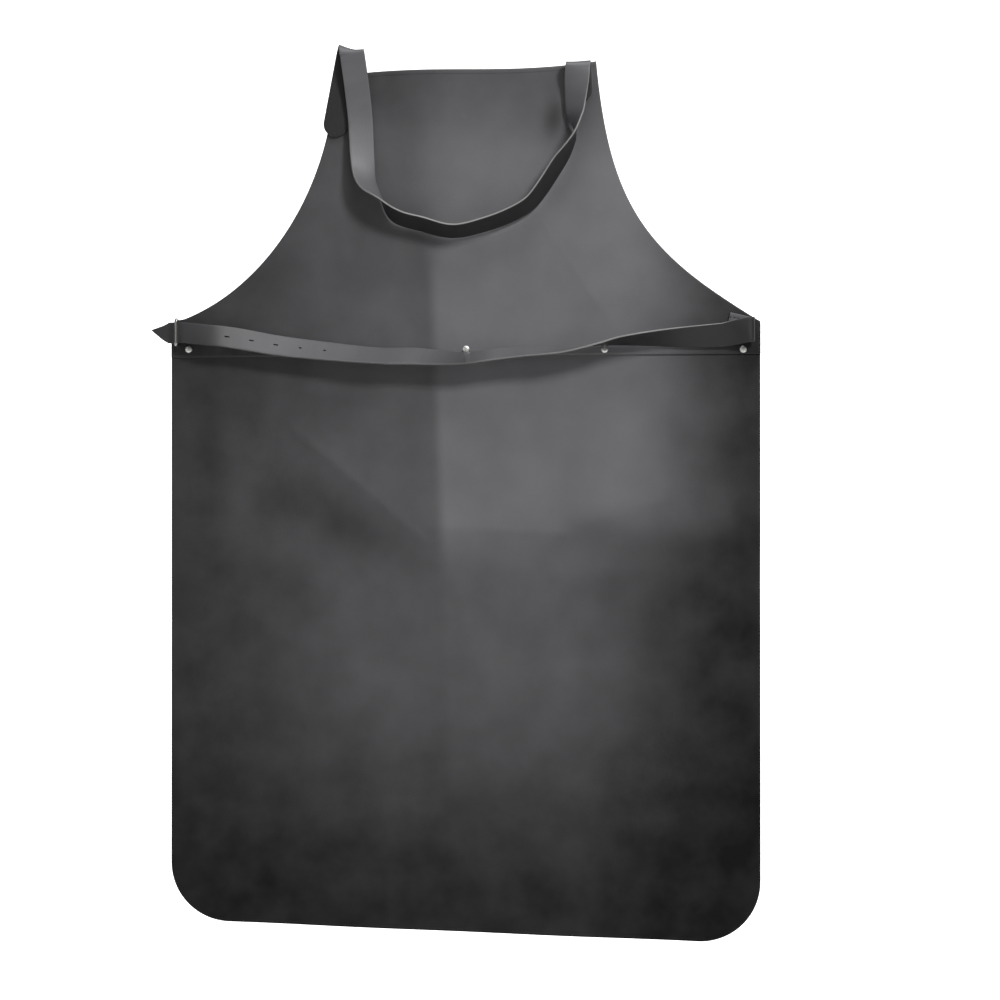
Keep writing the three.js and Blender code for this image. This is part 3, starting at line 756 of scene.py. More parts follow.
@dataclass(frozen=True)
class Frames:
    """Even cross-sections of a strap: its middle line, its axes, and the length run so far."""

    middle: np.ndarray
    across: np.ndarray
    run: np.ndarray
    length: float  # of the whole strap that they are part of

    def part(self, which: slice) -> "Frames":
        """Some of the cross-sections, as part of the same strap."""
        return Frames(self.middle[which], self.across[which], self.run[which], self.length)

    @property
    def through(self) -> np.ndarray:
        """The directions through the strap's thickness."""
        return np.cross(self.along, self.across)

    @property
    def along(self) -> np.ndarray:
        """The directions along the strap."""
        along = np.gradient(self.middle, axis=0)
        return along / np.linalg.norm(along, axis=1)[:, None]


@dataclass
class Ribbon:
    """A flat strap that follows its stations, with rounded edges, a UV map and its two sides told apart."""

    name: str
    stations: list[Station]
    leather: bpy.types.Material
    thickness: float = STRAP_THICK
    wide: float = STRAP_WIDE
    rounding: float = 0.45
    step: float = 1.6
    soften: int = 0  # passes of smoothing along the strap
    flesh_out: bool = True  # whether the side away from along x across is the flesh side
    far_edge: float = 0.25  # how pale the edge is that lies against the apron: painted less pale, as that edge lies in shade
    # both by share of the run: how pale the front edge is, painted less pale where it lies in shade, and the
    # painted shade that darkens the strap
    edges: tuple[tuple[float, float], ...] = ((0, 1), (1, 1))
    painted_shade: tuple[tuple[float, float], ...] = ((0, 1), (1, 1))

    def softness(self, middle: np.ndarray) -> np.ndarray:
        """How far the smoothing acts at each middle point."""
        return np.ones(len(middle))

    def frames(self) -> Frames:
        """Finds the strap's cross-sections."""
        shares = np.linspace(0, 1, 40 * len(self.stations) + 1)
        middle = catmull_rom(np.array([s.at for s in self.stations]), shares)
        across = catmull_rom(np.array([s.across for s in self.stations]), shares)
        run = run_along(middle)
        even = np.linspace(0, run[-1], max(3, round(run[-1] / self.step)) + 1)
        middle, across = read_line(even, run, middle), read_line(even, run, across)
        share = self.softness(middle)[1:-1, None] / 2
        for _ in range(self.soften):
            for line in (middle, across):
                line[1:-1] = line[1:-1] * (1 - share) + (line[:-2] + line[2:]) / 2 * share
        along = Frames(middle, across, even, even[-1]).along
        across = across - along * np.sum(across * along, axis=1)[:, None]
        return Frames(middle, across / np.linalg.norm(across, axis=1)[:, None], even, even[-1])

    def width(self, middle: np.ndarray) -> np.ndarray:
        """The strap's width at each middle point."""
        return np.full(len(middle), self.wide)

    def section(self) -> np.ndarray:
        """The cross-section as a closed line.

        Returns:
            Rows of the share of the half width, the offset from it, the height through, and how far
            the point is on the cut edge.
        """
        quarter = np.radians([0, 30, 60, 90])
        r, half = self.rounding, self.thickness / 2
        inner = np.linspace(0.8, -0.8, 5)
        full = math.pi / 2
        ring = [(1, r * math.cos(a) - r, half - r + r * math.sin(a), 1 - a / full) for a in quarter]
        ring += [(s, 0, half, 0) for s in inner]
        ring += [(-1, r - r * math.sin(a), half - r + r * math.cos(a), a / full) for a in quarter]
        ring += [(-1, r - r * math.cos(a), -half + r - r * math.sin(a), 1 - a / full) for a in quarter]
        ring += [(-s, 0, -half, 0) for s in inner]
        ring += [(1, r * math.sin(a) - r, -half + r - r * math.cos(a), a / full) for a in quarter]
        return np.array(ring)

    def build(self) -> bpy.types.Object:
        """Makes the whole strap's mesh."""
        return self.skin(self.frames(), self.name)

    def skin(self, line: Frames, name: str) -> bpy.types.Object:
        """Makes the mesh of one part of the strap.

        Args:
            line: the cross-sections of that part.
            name: the piece's name.

        Returns:
            The piece, with its UV map and the attributes that its material reads.
        """
        shape, widths, rows = self.section(), self.width(line.middle), len(line.middle)
        n = len(shape)
        out = shape[None, :, 0] * widths[:, None] / 2 + shape[None, :, 1]
        rise = shape[None, :, 2, None] * line.through[:, None]
        points = line.middle[:, None] + out[..., None] * line.across[:, None] + rise
        faces, corners = [], []
        girth = np.linspace(0, 2 * (self.wide + self.thickness), n + 1) * MM
        run = line.run * MM
        for i in range(rows - 1):
            for j in range(n):
                k = (j + 1) % n
                quad = [i * n + j, i * n + k, (i + 1) * n + k, (i + 1) * n + j]
                places = [(run[a], girth[b]) for a, b in ((i, j), (i, j + 1), (i + 1, j + 1), (i + 1, j))]
                faces.append(quad)
                corners.append(dict(zip(quad, places)))
        for i in (0, rows - 1):
            faces.append([i * n + j for j in range(n)])
            corners.append({i * n + j: (run[i], girth[j]) for j in range(n)})
        made = mesh_object(name, points.reshape(-1, 3), faces, self.leather)
        shade(made.data, 50)
        layer = made.data.uv_layers.new(name="strap")
        for polygon, known in zip(made.data.polygons, corners):
            for loop in polygon.loop_indices:
                layer.data[loop].uv = known[made.data.loops[loop].vertex_index]
        share = line.run / line.length
        # the edges' paleness, painted lower where an edge lies in shade
        front = np.interp(share, *zip(*self.edges))[:, None]
        pale = shape[None, :, 3] * np.where(shape[None, :, 0] > 0, front, self.far_edge)
        point_attribute(made.data, "edge", pale.ravel())
        flesh = shape[:, 2] < 0 if self.flesh_out else shape[:, 2] > 0
        point_attribute(made.data, "flesh", np.tile(flesh, rows))
        point_attribute(made.data, "painted_shade", np.repeat(np.interp(share, *zip(*self.painted_shade)), n))
        return made


@dataclass
class NeckRibbon(Ribbon):
    """The neck strap from one sewn end to the other: both its ends are cut round."""

    tips: tuple[float, float] = (0.0, 0.0)  # the Z of the left and the right rounded end
    folds: tuple[float, float] = (0.0, 0.0)  # the Z of the two folds' centres
    sewn_y: tuple[float, float] = (-5.0, -4.0)  # behind these it is sewn down
    hanging_y: tuple[float, float] = (-4.2, -5.2)  # in front of these it hangs
    hanging_drop: tuple[float, float] = (2.0, 14.0)  # how far below the fold it starts to hang
    narrowest: float = 0.16

    def width(self, middle: np.ndarray) -> np.ndarray:
        """The strap's width, which closes in a half circle at each sewn end."""
        tip = np.where(middle[:, 0] < 0, *self.tips)
        short = np.clip(1 - np.maximum(0, middle[:, 2] - tip) / (self.wide / 2), 0, 1)
        sewn = smooth(middle[:, 1], *self.sewn_y)
        return self.wide * (1 - sewn * (1 - np.maximum(self.narrowest, np.sqrt(1 - short**2))))

    def softness(self, middle: np.ndarray) -> np.ndarray:
        """The smoothing acts on the hanging loop, and leaves the folds and the sewn ends as they are."""
        fold = np.where(middle[:, 0] < 0, *self.folds)
        below = [fold - drop for drop in self.hanging_drop]
        return smooth(middle[:, 2], *below) * smooth(middle[:, 1], *self.hanging_y)


@dataclass(frozen=True)
class Taper:
    """How a strap's left end narrows and closes in a point."""

    full: float = STRAP_WIDE
    narrowed: float = 21.6
    loop_x: float = -296.0
    overhang: float = 26.3
    narrowing: tuple[float, float] = (60.0, 50.0)  # where it starts right of the loop, and its length
    tip_width: float = 0.8
    tip_length: float = 18.0

    def width(self, x: np.ndarray) -> np.ndarray:
        """The strap's width, by how far left it is."""
        start, length = self.narrowing
        plain = self.full + (self.narrowed - self.full) * np.clip((self.loop_x + start - x) / length, 0, 1)
        open_share = np.clip((x - (self.loop_x - self.overhang)) / self.tip_length, 0, 1)
        return self.tip_width + (plain - self.tip_width) * open_share


@dataclass
class TaperedRibbon(Ribbon):
    """A strap whose left end narrows and closes in a point."""

    taper: Taper = Taper()

    def width(self, middle: np.ndarray) -> np.ndarray:
        """The strap's width at each middle point."""
        return self.taper.width(middle[:, 0])


@dataclass(frozen=True)
class NeckFold:
    """Where the neck strap folds forward over its sewn end, and how that end lies."""

    x: float
    z: float
    drift: float
    slant: float
    end_lean: float
    end_length: float
    back_heading: float
    front_heading: float
    radius: float = 5.5
    sewn_y: float = -2.9

    def station(self, turn: float) -> Station:
        """A place on the fold: turn 0 is at the back, on the sewn end, and 1 at the front."""
        angle = turn * math.pi
        side = 1 if self.x > 0 else -1
        heading = self.back_heading + (self.front_heading - self.back_heading) * turn
        heading += side * self.slant * math.sin(angle)
        at = np.array(
            [
                self.x + self.drift * (turn - 0.5),
                self.sewn_y - self.radius * (1 - math.cos(angle)),
                self.z + self.radius * math.sin(angle),
            ]
        )
        return Station(at, width_direction(heading, 0))

    def sewn(self, share: float) -> Station:
        """A place on the sewn end, from 0 under the fold to 1 at its rounded end."""
        top = self.station(0)
        low = np.array([top.at[0] + self.end_lean, self.sewn_y, self.z - self.end_length])
        return Station(top.at + (low - top.at) * share, top.across)


@dataclass
class NeckStrap:
    """The neck strap: two sewn ends with their folds, and the loop that hangs between them."""

    leather: bpy.types.Material
    left: NeckFold = NeckFold(-118.4, 12.931, 4.3, 16, -15.5, 83, 172, 186)
    right: NeckFold = NeckFold(115.5, -0.004, -2, 6, 2, 34, 3, -6)
    drop: float = 176.0
    pale: tuple[tuple[float, float], ...] = (
        (0, 0.2), (0.16, 0.2), (0.2, 0.1), (0.32, 0.55), (0.4, 1), (0.6, 0.9), (0.75, 0.8), (1, 0.8)
    )  # how pale the front edge is, by share of the whole strap; painted less pale where the edge lies in shade
    # the share of the way across, the share of the drop, the lift, and the extra stand-off
    hang: tuple[tuple[float, float, float, float], ...] = (
        (0.032, 0.343, 10, 0),
        (0.045, 0.622, 20, 0),
        (0.061, 0.741, 44, 0),
        (0.119, 0.827, 82, 0),
        (0.19, 0.927, 116, 0),
        (0.307, 0.965, 118, 0),
        (0.444, 0.998, 116, 0),
        (0.587, 0.948, 117, 0),
        (0.697, 0.886, 118, 0),
        (0.788, 0.81, 119, 0),
        (0.846, 0.71, 120, 0),
        (0.913, 0.568, 120, 0),
        (0.96, 0.471, 108, 1.3),
        (0.994, 0.367, 90, 2.6),
        (0.99, 0.273, 50, 2.6),
        (0.992, 0.16, 32, 2.6),
    )

    def loop_stations(self) -> list[Station]:
        """The loop's places from the left fold to the right one."""
        start, finish = self.left.station(1), self.right.station(1)
        flat = []
        for share, drop, _, _ in self.hang:
            x = start.at[0] + (finish.at[0] - start.at[0]) * share
            z = self.left.z + (self.right.z - self.left.z) * share - drop * self.drop
            flat.append((x, 0.0, z))
        ends = [(s.at[0], 0.0, s.at[2]) for s in (start, finish)]
        line = np.array([ends[0], *flat, ends[1]])
        spans = len(line) - 1
        made = [start]
        for i, (_, _, lift, extra) in enumerate(self.hang):
            t = (i + 1) / spans
            ahead, behind = catmull_rom(line, np.array([t + 1e-4, t - 1e-4]))
            along = ahead - behind
            heading = math.degrees(math.atan2(-along[0], along[2]))
            at = np.array([flat[i][0], standing_y(lift, extra), flat[i][2]])
            made.append(Station(at, width_direction(heading, lift)))
        return [*made, finish]

    def build(self) -> list[bpy.types.Object]:
        """Makes the three pieces and sets the hanging loop to follow the loop's swing."""
        roots = []
        for fold in (self.left, self.right):
            sewn = [fold.sewn(share) for share in (1, 0.8, 0.6, 0.4, 0.2, 0.06)]
            bent = [fold.station(turn) for turn in (0, 0.12, 0.25, 0.38, 0.5, 0.62, 0.75, 0.88, 1)]
            roots.append(sewn + bent)
        strap = NeckRibbon(
            "neck_strap",
            [*roots[0], *self.loop_stations()[1:-1], *roots[1][::-1]],
            self.leather,
            step=1.0,
            soften=40,
            edges=self.pale,
            tips=(roots[0][0].at[2], roots[1][0].at[2]),
            folds=(self.left.z, self.right.z),
        )
        line = strap.frames()
        in_front = np.flatnonzero(line.middle[:, 1] < self.left.sewn_y - 2 * self.left.radius + 0.05)
        first = int(in_front[0])
        last = int(in_front[in_front > len(line.run) * 0.7][-1])
        made = []
        halves = (("left", self.left, slice(0, first + 1)), ("right", self.right, slice(last, None)))
        for side, fold, part in halves:
            root = strap.skin(line.part(part), f"neck_strap_{side}_root")
            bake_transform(root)
            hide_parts(f"neck_strap_{side}_end", f"neck_strap_{side}_fold")
            made.append(root)
        loop = strap.skin(line.part(slice(first, last + 1)), "neck_strap_hanging_loop")
        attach(loop, "neck_loop")
        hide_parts("neck_strap_loop")
        made.append(loop)
        return made


@dataclass
class WaistStrap:
    """The waist strap: its sewn end and fold at the right, half a twist, and its punched left end."""

    leather: bpy.types.Material
    rivet_z: float = RIVET_Z
    fold_x: float = 291.0
    fold_radius: float = 4.5
    fold_rise: float = 20.4
    fold_drop: float = 0.6
    end_y: float = -3.25
    end_length: float = 22.0
    end_rise: float = 5.0
    loop_z: float = -272.0
    taper: Taper = Taper()
    tab_rise: float = 6.4
    slot_width: float = 1.7
    slot_pitch: float = 25.0
    slot_first: float = 52.1
    slots: tuple[float, ...] = (5.2, 5.2, 5.2, 3.0, 3.0)
    # share of the way, rise of the standing edge above the rivets, lift, and the extra stand-off
    run: tuple[tuple[float, float, float, float], ...] = (
        (0.018, 3.6, 18, 1.6),
        (0.085, 1.9, 31, 0),
        (0.167, 3.7, 57, 0),
        (0.231, 4.6, 76, 0),
        (0.265, 4.6, 90, 0),
        (0.329, 2.3, 106, 0),
        (0.399, 2, 115, 0),
        (0.452, -0.6, 118, 0),
        (0.497, -4.0, 119, 0),
        (0.54, -1.6, 128, 0),
        (0.59, 1.2, 135, 0),
        (0.644, 1.1, 133, 0),
        (0.766, 8.9, 142, 0),
        (0.827, 13.8, 146, 0.6),
        (0.888, 20.5, 150, 3),
        (0.926, 23.3, 154, 7.6),
        (0.95, 24.4, 158, 7.1),
        (0.976, 26.2, 166, 6.4),
        (1, 27.2, 176, 6.4),
        (1.013, 26.7, 178, 5.4),
    )

    def front_stations(self) -> list[Station]:
        """The strap's places across the front, from the fold to its tip."""
        made = []
        for share, rise, lift, extra in self.run:
            x = self.fold_x + (self.taper.loop_x - self.fold_x) * share
            width = float(self.taper.width(x))
            z = self.rivet_z + rise + width / 2 * math.cos(math.radians(lift))
            place = np.array([x, standing_y(lift, extra, width), z])
            made.append(Station(place, width_direction(90, lift)))
        tip_x = self.taper.loop_x - self.taper.overhang
        tip = np.array([tip_x, standing_y(0, self.tab_rise / 2), self.loop_z + 2.6])
        return [*made, Station(tip, width_direction(90, 178))]

    def end_stations(self) -> list[Station]:
        """The strap's places on its sewn end and round the fold."""
        up = width_direction(90, 0)
        fold_z = self.rivet_z + self.fold_rise
        made = []
        for share in (1, 0.5, 0.15, 0.05):
            at = (self.fold_x - share * self.end_length, self.end_y, fold_z + share * self.end_rise)
            made.append(Station(np.array(at), up))
        for turn in (0, 0.25, 0.5, 0.75, 1):
            angle = turn * math.pi
            at = (
                self.fold_x + self.fold_radius * math.sin(angle),
                self.end_y - self.fold_radius * (1 - math.cos(angle)),
                fold_z - self.fold_drop * turn,
            )
            made.append(Station(np.array(at), up))
        return made

    def slot_cutter(self, ribbon: Ribbon) -> bpy.types.Object:
        """Makes one mesh of round-ended bars, each standing square through the strap at a slot."""
        line = ribbon.frames()
        middle, across, through = line.middle, line.across, line.through
        points, faces = [], []
        for i, length in enumerate(self.slots):
            slot_x = self.taper.loop_x + self.slot_first + i * self.slot_pitch
            k = int(np.argmin(np.abs(middle[:, 0] - slot_x)))
            along = line.along[k]
            r = self.slot_width / 2
            outline = []
            for centre, start in ((length / 2 - r, -90), (r - length / 2, 90)):
                for turn in np.radians(np.linspace(start, start + 180, 7)):
                    outline.append((centre + r * math.cos(turn), r * math.sin(turn)))
            n, base = len(outline), len(points)
            for side in (-3, 3):
                points += [middle[k] + along * a + across[k] * b + through[k] * side for a, b in outline]
            faces += [[base + j for j in range(n)], [base + n + j for j in range(n)][::-1]]
            faces += [[base + j, base + (j + 1) % n, base + n + (j + 1) % n, base + n + j] for j in range(n)]
        return mesh_object("slot_cutter", np.array(points), faces, self.leather)

    def dress_slots(self, punched: bpy.types.Mesh, ribbon: Ribbon) -> None:
        """Gives the slots' rims, which are new points, the look of the side of the strap that they lie on."""
        line = ribbon.frames()
        known = np.zeros(len(punched.vertices), np.float32)
        punched.attributes["painted_shade"].data.foreach_get("value", known)
        for i in np.flatnonzero(known < 0.01):
            place = np.array(punched.vertices[i].co) / MM
            k = int(np.argmin(np.linalg.norm(line.middle - place, axis=1)))
            height = float(np.dot(place - line.middle[k], line.through[k]))
            punched.attributes["flesh"].data[i].value = float(height > 0)
            kept = np.interp(line.run[k] / line.length, *zip(*ribbon.painted_shade))
            punched.attributes["painted_shade"].data[i].value = float(kept)

    def build(self) -> list[bpy.types.Object]:
        """Makes the strap's two halves and punches the slots."""
        front = self.front_stations()
        whole = TaperedRibbon("waist_strap", front, self.leather, step=1.8, soften=6).frames()
        middle, across = whole.middle, whole.across
        centre = int(np.argmin(np.abs(middle[:, 0])))
        stride = 4
        left_places = [Station(middle[i], across[i]) for i in range(centre, len(middle), stride)]
        left_places.append(Station(middle[-1], across[-1]))
        right_places = [Station(middle[i], across[i]) for i in range(centre, 8, -stride)][::-1]
        left = TaperedRibbon(
            "waist_strap_left_half",
            left_places,
            self.leather,
            step=1.8,
            flesh_out=False,
            # painted shade: the front edge is made less pale and the strap darker where they lie in shade,
            # most towards the tip
            edges=((0, 0.8), (0.3, 0.45), (1, 0.3)),
            painted_shade=((0, 0.5), (0.1, 0.72), (0.7, 0.72), (0.82, 0.3), (1, 0.22)),
        )
        right_places = [*self.end_stations(), *right_places]
        right = TaperedRibbon(
            "waist_strap_right_half",
            right_places,
            self.leather,
            step=1.2,
            flesh_out=False,
            # painted shade: the edges are less pale where they lie in shade, and the strap is darker towards
            # the middle of the front
            edges=((0, 0.7), (0.1, 0.2), (0.2, 0.9), (0.6, 0.8), (1, 0.5)),
            painted_shade=((0, 1), (0.9, 1), (1, 0.6)),
        )
        left_half, right_half = left.build(), right.build()
        cutter = self.slot_cutter(left)
        punch = left_half.modifiers.new("slots", "BOOLEAN")
        punch.operation, punch.solver, punch.object = "DIFFERENCE", "EXACT", cutter
        settled = left_half.evaluated_get(bpy.context.evaluated_depsgraph_get())
        punched = bpy.data.meshes.new_from_object(settled)
        left_half.modifiers.remove(punch)
        left_half.data = punched
        shade(punched, 30)
        self.dress_slots(punched, left)
        bpy.data.objects.remove(cutter)
        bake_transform(right_half)
        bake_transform(left_half)
        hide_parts("waist_strap_right_end", "waist_strap_span")
        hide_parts("waist_strap_punched_end")
        return [left_half, right_half]


# ---------------------------------------------------------------- hardware and sewing


@dataclass
class WireLoop:
    """The wire loop on the left ear, and the leather tab that holds its inner bar."""

    steel: bpy.types.Material
    leather: bpy.types.Material
    x: float = -296.0
    y: float = -4.95
    z: float = -272.0
    wire: float = 1.6
    depth: float = 13.0
    inside_height: float = 22.6
    corner: float = 2.6
    tab_width: float = 17.0
    tab_length: float = 26.0
    tab_thickness: float = 1.2
    tab_back: float = -2.5
    tab_wrap: float = 2.45

    def ring(self) -> bpy.types.Object:
        """Makes the ring: round wire bent to a rounded rectangle, its ends butt-welded behind the tab."""
        tall = self.inside_height / 2 + self.wire
        wide, r = self.depth / 2, self.corner
        line = []
        for corner, (side_y, side_z) in enumerate(((1, 1), (-1, 1), (-1, -1), (1, -1))):
            for turn in np.radians(np.linspace(90 * corner, 90 * corner + 90, 9)):
                centre_y, centre_z = side_y * (wide - r), side_z * (tall - r)
                line.append((centre_y + r * math.cos(turn), centre_z + r * math.sin(turn)))
        line = np.array(line)
        closed = np.vstack([line, line[:1]])
        run = run_along(closed)
        path = read_line(np.linspace(0, run[-1], 121)[:-1], run, closed)
        ahead = np.roll(path, -1, axis=0) - np.roll(path, 1, axis=0)
        ahead /= np.linalg.norm(ahead, axis=1)[:, None]
        sides = 16
        points = []
        for (py, pz), (dy, dz) in zip(path, ahead):
            for turn in np.linspace(0, 2 * math.pi, sides, endpoint=False):
                out, over = self.wire * math.cos(turn), self.wire * math.sin(turn)
                deep = self.y - self.depth / 2 + py + dz * out
                points.append((self.x + over, deep, self.z + pz - dy * out))
        count = len(path)
        faces = []
        for i in range(count):
            for j in range(sides):
                k, m = (j + 1) % sides, (i + 1) % count
                faces.append([i * sides + j, i * sides + k, m * sides + k, m * sides + j])
        made = mesh_object("wire_ring", np.array(points), faces, self.steel)
        shade(made.data, 60)
        return made

    def tab(self) -> bpy.types.Object:
        """Makes the tab, which goes round the inner bar and is sewn down with both its plies."""
        up = width_direction(90, 0)
        ply = self.tab_back - self.tab_thickness - 0.3
        points = [(self.x + self.tab_length, self.tab_back), (self.x + self.tab_length / 2, self.tab_back)]
        points.append((self.x + 2, self.tab_back))
        for turn in (0, 0.25, 0.5, 0.75, 1):
            angle, wrap = turn * math.pi, self.tab_wrap
            points.append((self.x - wrap * math.sin(angle), self.y + wrap * math.cos(angle)))
        points.append((self.x + 2, self.y - self.tab_wrap))
        points.append((self.x + self.tab_length / 2, ply))
        points.append((self.x + self.tab_length, ply))
        stations = [Station(np.array([x, y, self.z]), up) for x, y in points]
        return Ribbon(
            "loop_tab", stations, self.leather, self.tab_thickness, self.tab_width, 0.3, 0.6, flesh_out=False
        ).build()

    def build(self) -> list[bpy.types.Object]:
        """Makes the ring and the tab."""
        ring, tab = self.ring(), self.tab()
        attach(ring, "wire_loop")
        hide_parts("belt_loop")
        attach(tab, "apron")
        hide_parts("belt_loop_tab")
        return [ring, tab]


class RivetPart(Enum):
    """Which part of a two-piece rivet, with the way that it faces along Y."""

    CAP = -1
    HEAD = 1


def settle(host: bpy.types.Object, name: str) -> bpy.types.Object:
    """Turns a Geometry Nodes result to a plain mesh piece.

    Args:
        host: the object with the modifier; it is removed.
        name: the piece's name.

    Returns:
        The piece.
    """
    evaluated = host.evaluated_get(bpy.context.evaluated_depsgraph_get())
    mesh = bpy.data.meshes.new_from_object(evaluated)
    host.modifiers.clear()
    bpy.data.objects.remove(host)
    mesh.name = name
    made = bpy.data.objects.new(name, mesh)
    bpy.context.scene.collection.objects.link(made)
    return made


def node_tool(
    name: str, inputs: dict[str, str]
) -> tuple[bpy.types.NodeTree, bpy.types.Node, bpy.types.Node, dict]:
    """Starts a Geometry Nodes tree.

    Args:
        name: the tree's name.
        inputs: for each named input, its socket type.

    Returns:
        The tree, its input node, its output node, and each input's identifier by name.
    """
    tree = bpy.data.node_groups.new(name, "GeometryNodeTree")
    tree.interface.new_socket("Geometry", in_out="INPUT", socket_type="NodeSocketGeometry")
    known = {}
    for label, kind in inputs.items():
        known[label] = tree.interface.new_socket(label, in_out="INPUT", socket_type=kind).identifier
    tree.interface.new_socket("Geometry", in_out="OUTPUT", socket_type="NodeSocketGeometry")
    return tree, tree.nodes.new("NodeGroupInput"), tree.nodes.new("NodeGroupOutput"), known


def place_copies(
    tree: bpy.types.NodeTree, out: bpy.types.Node, points, shape, material, inputs: dict | None = None
) -> None:
    """Ends a tree: sets a smooth shape on every point and dresses it; inputs are the placing's others."""
    soft = add_node(tree, "GeometryNodeSetShadeSmooth", {"Geometry": shape}).outputs["Geometry"]
    placing = {"Points": points, "Instance": soft} | (inputs or {})
    copies = add_node(tree, "GeometryNodeInstanceOnPoints", placing).outputs["Instances"]
    real = add_node(tree, "GeometryNodeRealizeInstances", {"Geometry": copies}).outputs["Geometry"]
    dressed = add_node(tree, "GeometryNodeSetMaterial", {"Geometry": real, "Material": material})
    tree.links.new(dressed.outputs["Geometry"], out.inputs["Geometry"])


def node_sockets(material: str, *numbers: str) -> dict[str, str]:
    """The inputs of a node tool: some numbers and one material."""
    return dict.fromkeys(numbers, "NodeSocketFloat") | {material: "NodeSocketMaterial"}


def run_tool(
    tree: bpy.types.NodeTree, known: dict, mesh: bpy.types.Mesh, values: dict, name: str
) -> bpy.types.Object:
    """Runs a Geometry Nodes tree on a mesh.

    Args:
        tree: the tree.
        known: each input's identifier by name.
        mesh: what it works on.
        values: the inputs' values by name.
        name: the name of the piece.

    Returns:
        The finished piece.
    """
    host = bpy.data.objects.new(f"{name}_host", mesh)
    bpy.context.scene.collection.objects.link(host)
    modifier = host.modifiers.new(name, "NODES")
    modifier.node_group = tree
    for label, value in values.items():
        modifier[known[label]] = value
    return settle(host, name)


@dataclass
class Rivets:
    """Five two-piece rivets along the lap: domed caps in front and flatter heads behind."""

    nickel: bpy.types.Material
    places: np.ndarray
    cap_radius: float = 3.7
    cap_rise: float = 1.5
    head_radius: float = 4.0
    head_rise: float = 0.9
    front: float = -1.9
    back: float = 2.2
    fullness: float = 0.72  # under 1 makes the domes fuller than half balls

    def tree(self) -> tuple[bpy.types.NodeTree, dict]:
        """Builds the tree that sets one flat-bottomed dome on each point."""
        sockets = node_sockets("Metal", "Radius", "Rise", "Facing")
        tree, given, out, known = node_tool("rivets_on_points", sockets)
        ball = add_node(tree, "GeometryNodeMeshUVSphere", {"Segments": 40, "Rings": 24, "Radius": 1.0})
        place = add_node(tree, "GeometryNodeInputPosition").outputs[0]
        x, y, z = add_node(tree, "ShaderNodeSeparateXYZ", {0: place}).outputs
        fuller = maths(tree, "POWER", maths(tree, "MAXIMUM", z, 0.0), self.fullness)
        inputs = {"Geometry": ball.outputs["Mesh"], "Position": vector(tree, x, y, fuller)}
        dome = add_node(tree, "GeometryNodeSetPosition", inputs).outputs["Geometry"]
        size = vector(tree, given.outputs["Radius"], given.outputs["Radius"], given.outputs["Rise"])
        sized = add_node(tree, "GeometryNodeTransform", {"Geometry": dome, "Scale": size}).outputs["Geometry"]
        tilt = vector(tree, maths(tree, "MULTIPLY", given.outputs["Facing"], -math.pi / 2), 0.0, 0.0)
        turned = add_node(tree, "GeometryNodeTransform", {"Geometry": sized, "Rotation": tilt})
        place_copies(tree, out, given.outputs["Geometry"], turned.outputs["Geometry"], given.outputs["Metal"])
        return tree, known

    def build(self) -> list[bpy.types.Object]:
        """Makes the caps and the heads."""
        tree, known = self.tree()
        made = []
        for part, radius, rise, y, name, node in (
            (RivetPart.CAP, self.cap_radius, self.cap_rise, self.front, "rivet_caps", "rivet_cap"),
            (RivetPart.HEAD, self.head_radius, self.head_rise, self.back, "rivet_heads", "rivet_post"),
        ):
            mesh = bpy.data.meshes.new(name)
            mesh.from_pydata([(x * MM, y * MM, z * MM) for x, z in self.places], [], [])
            values = {"Radius": radius * MM, "Rise": rise * MM, "Facing": float(part.value)}
            values["Metal"] = self.nickel
            piece = run_tool(tree, known, mesh, values, name)
            shade(piece.data, 60)
            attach(piece, "apron")
            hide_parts(*[f"{node}_{i + 1}" for i in range(len(self.places))])
            made.append(piece)
        return made


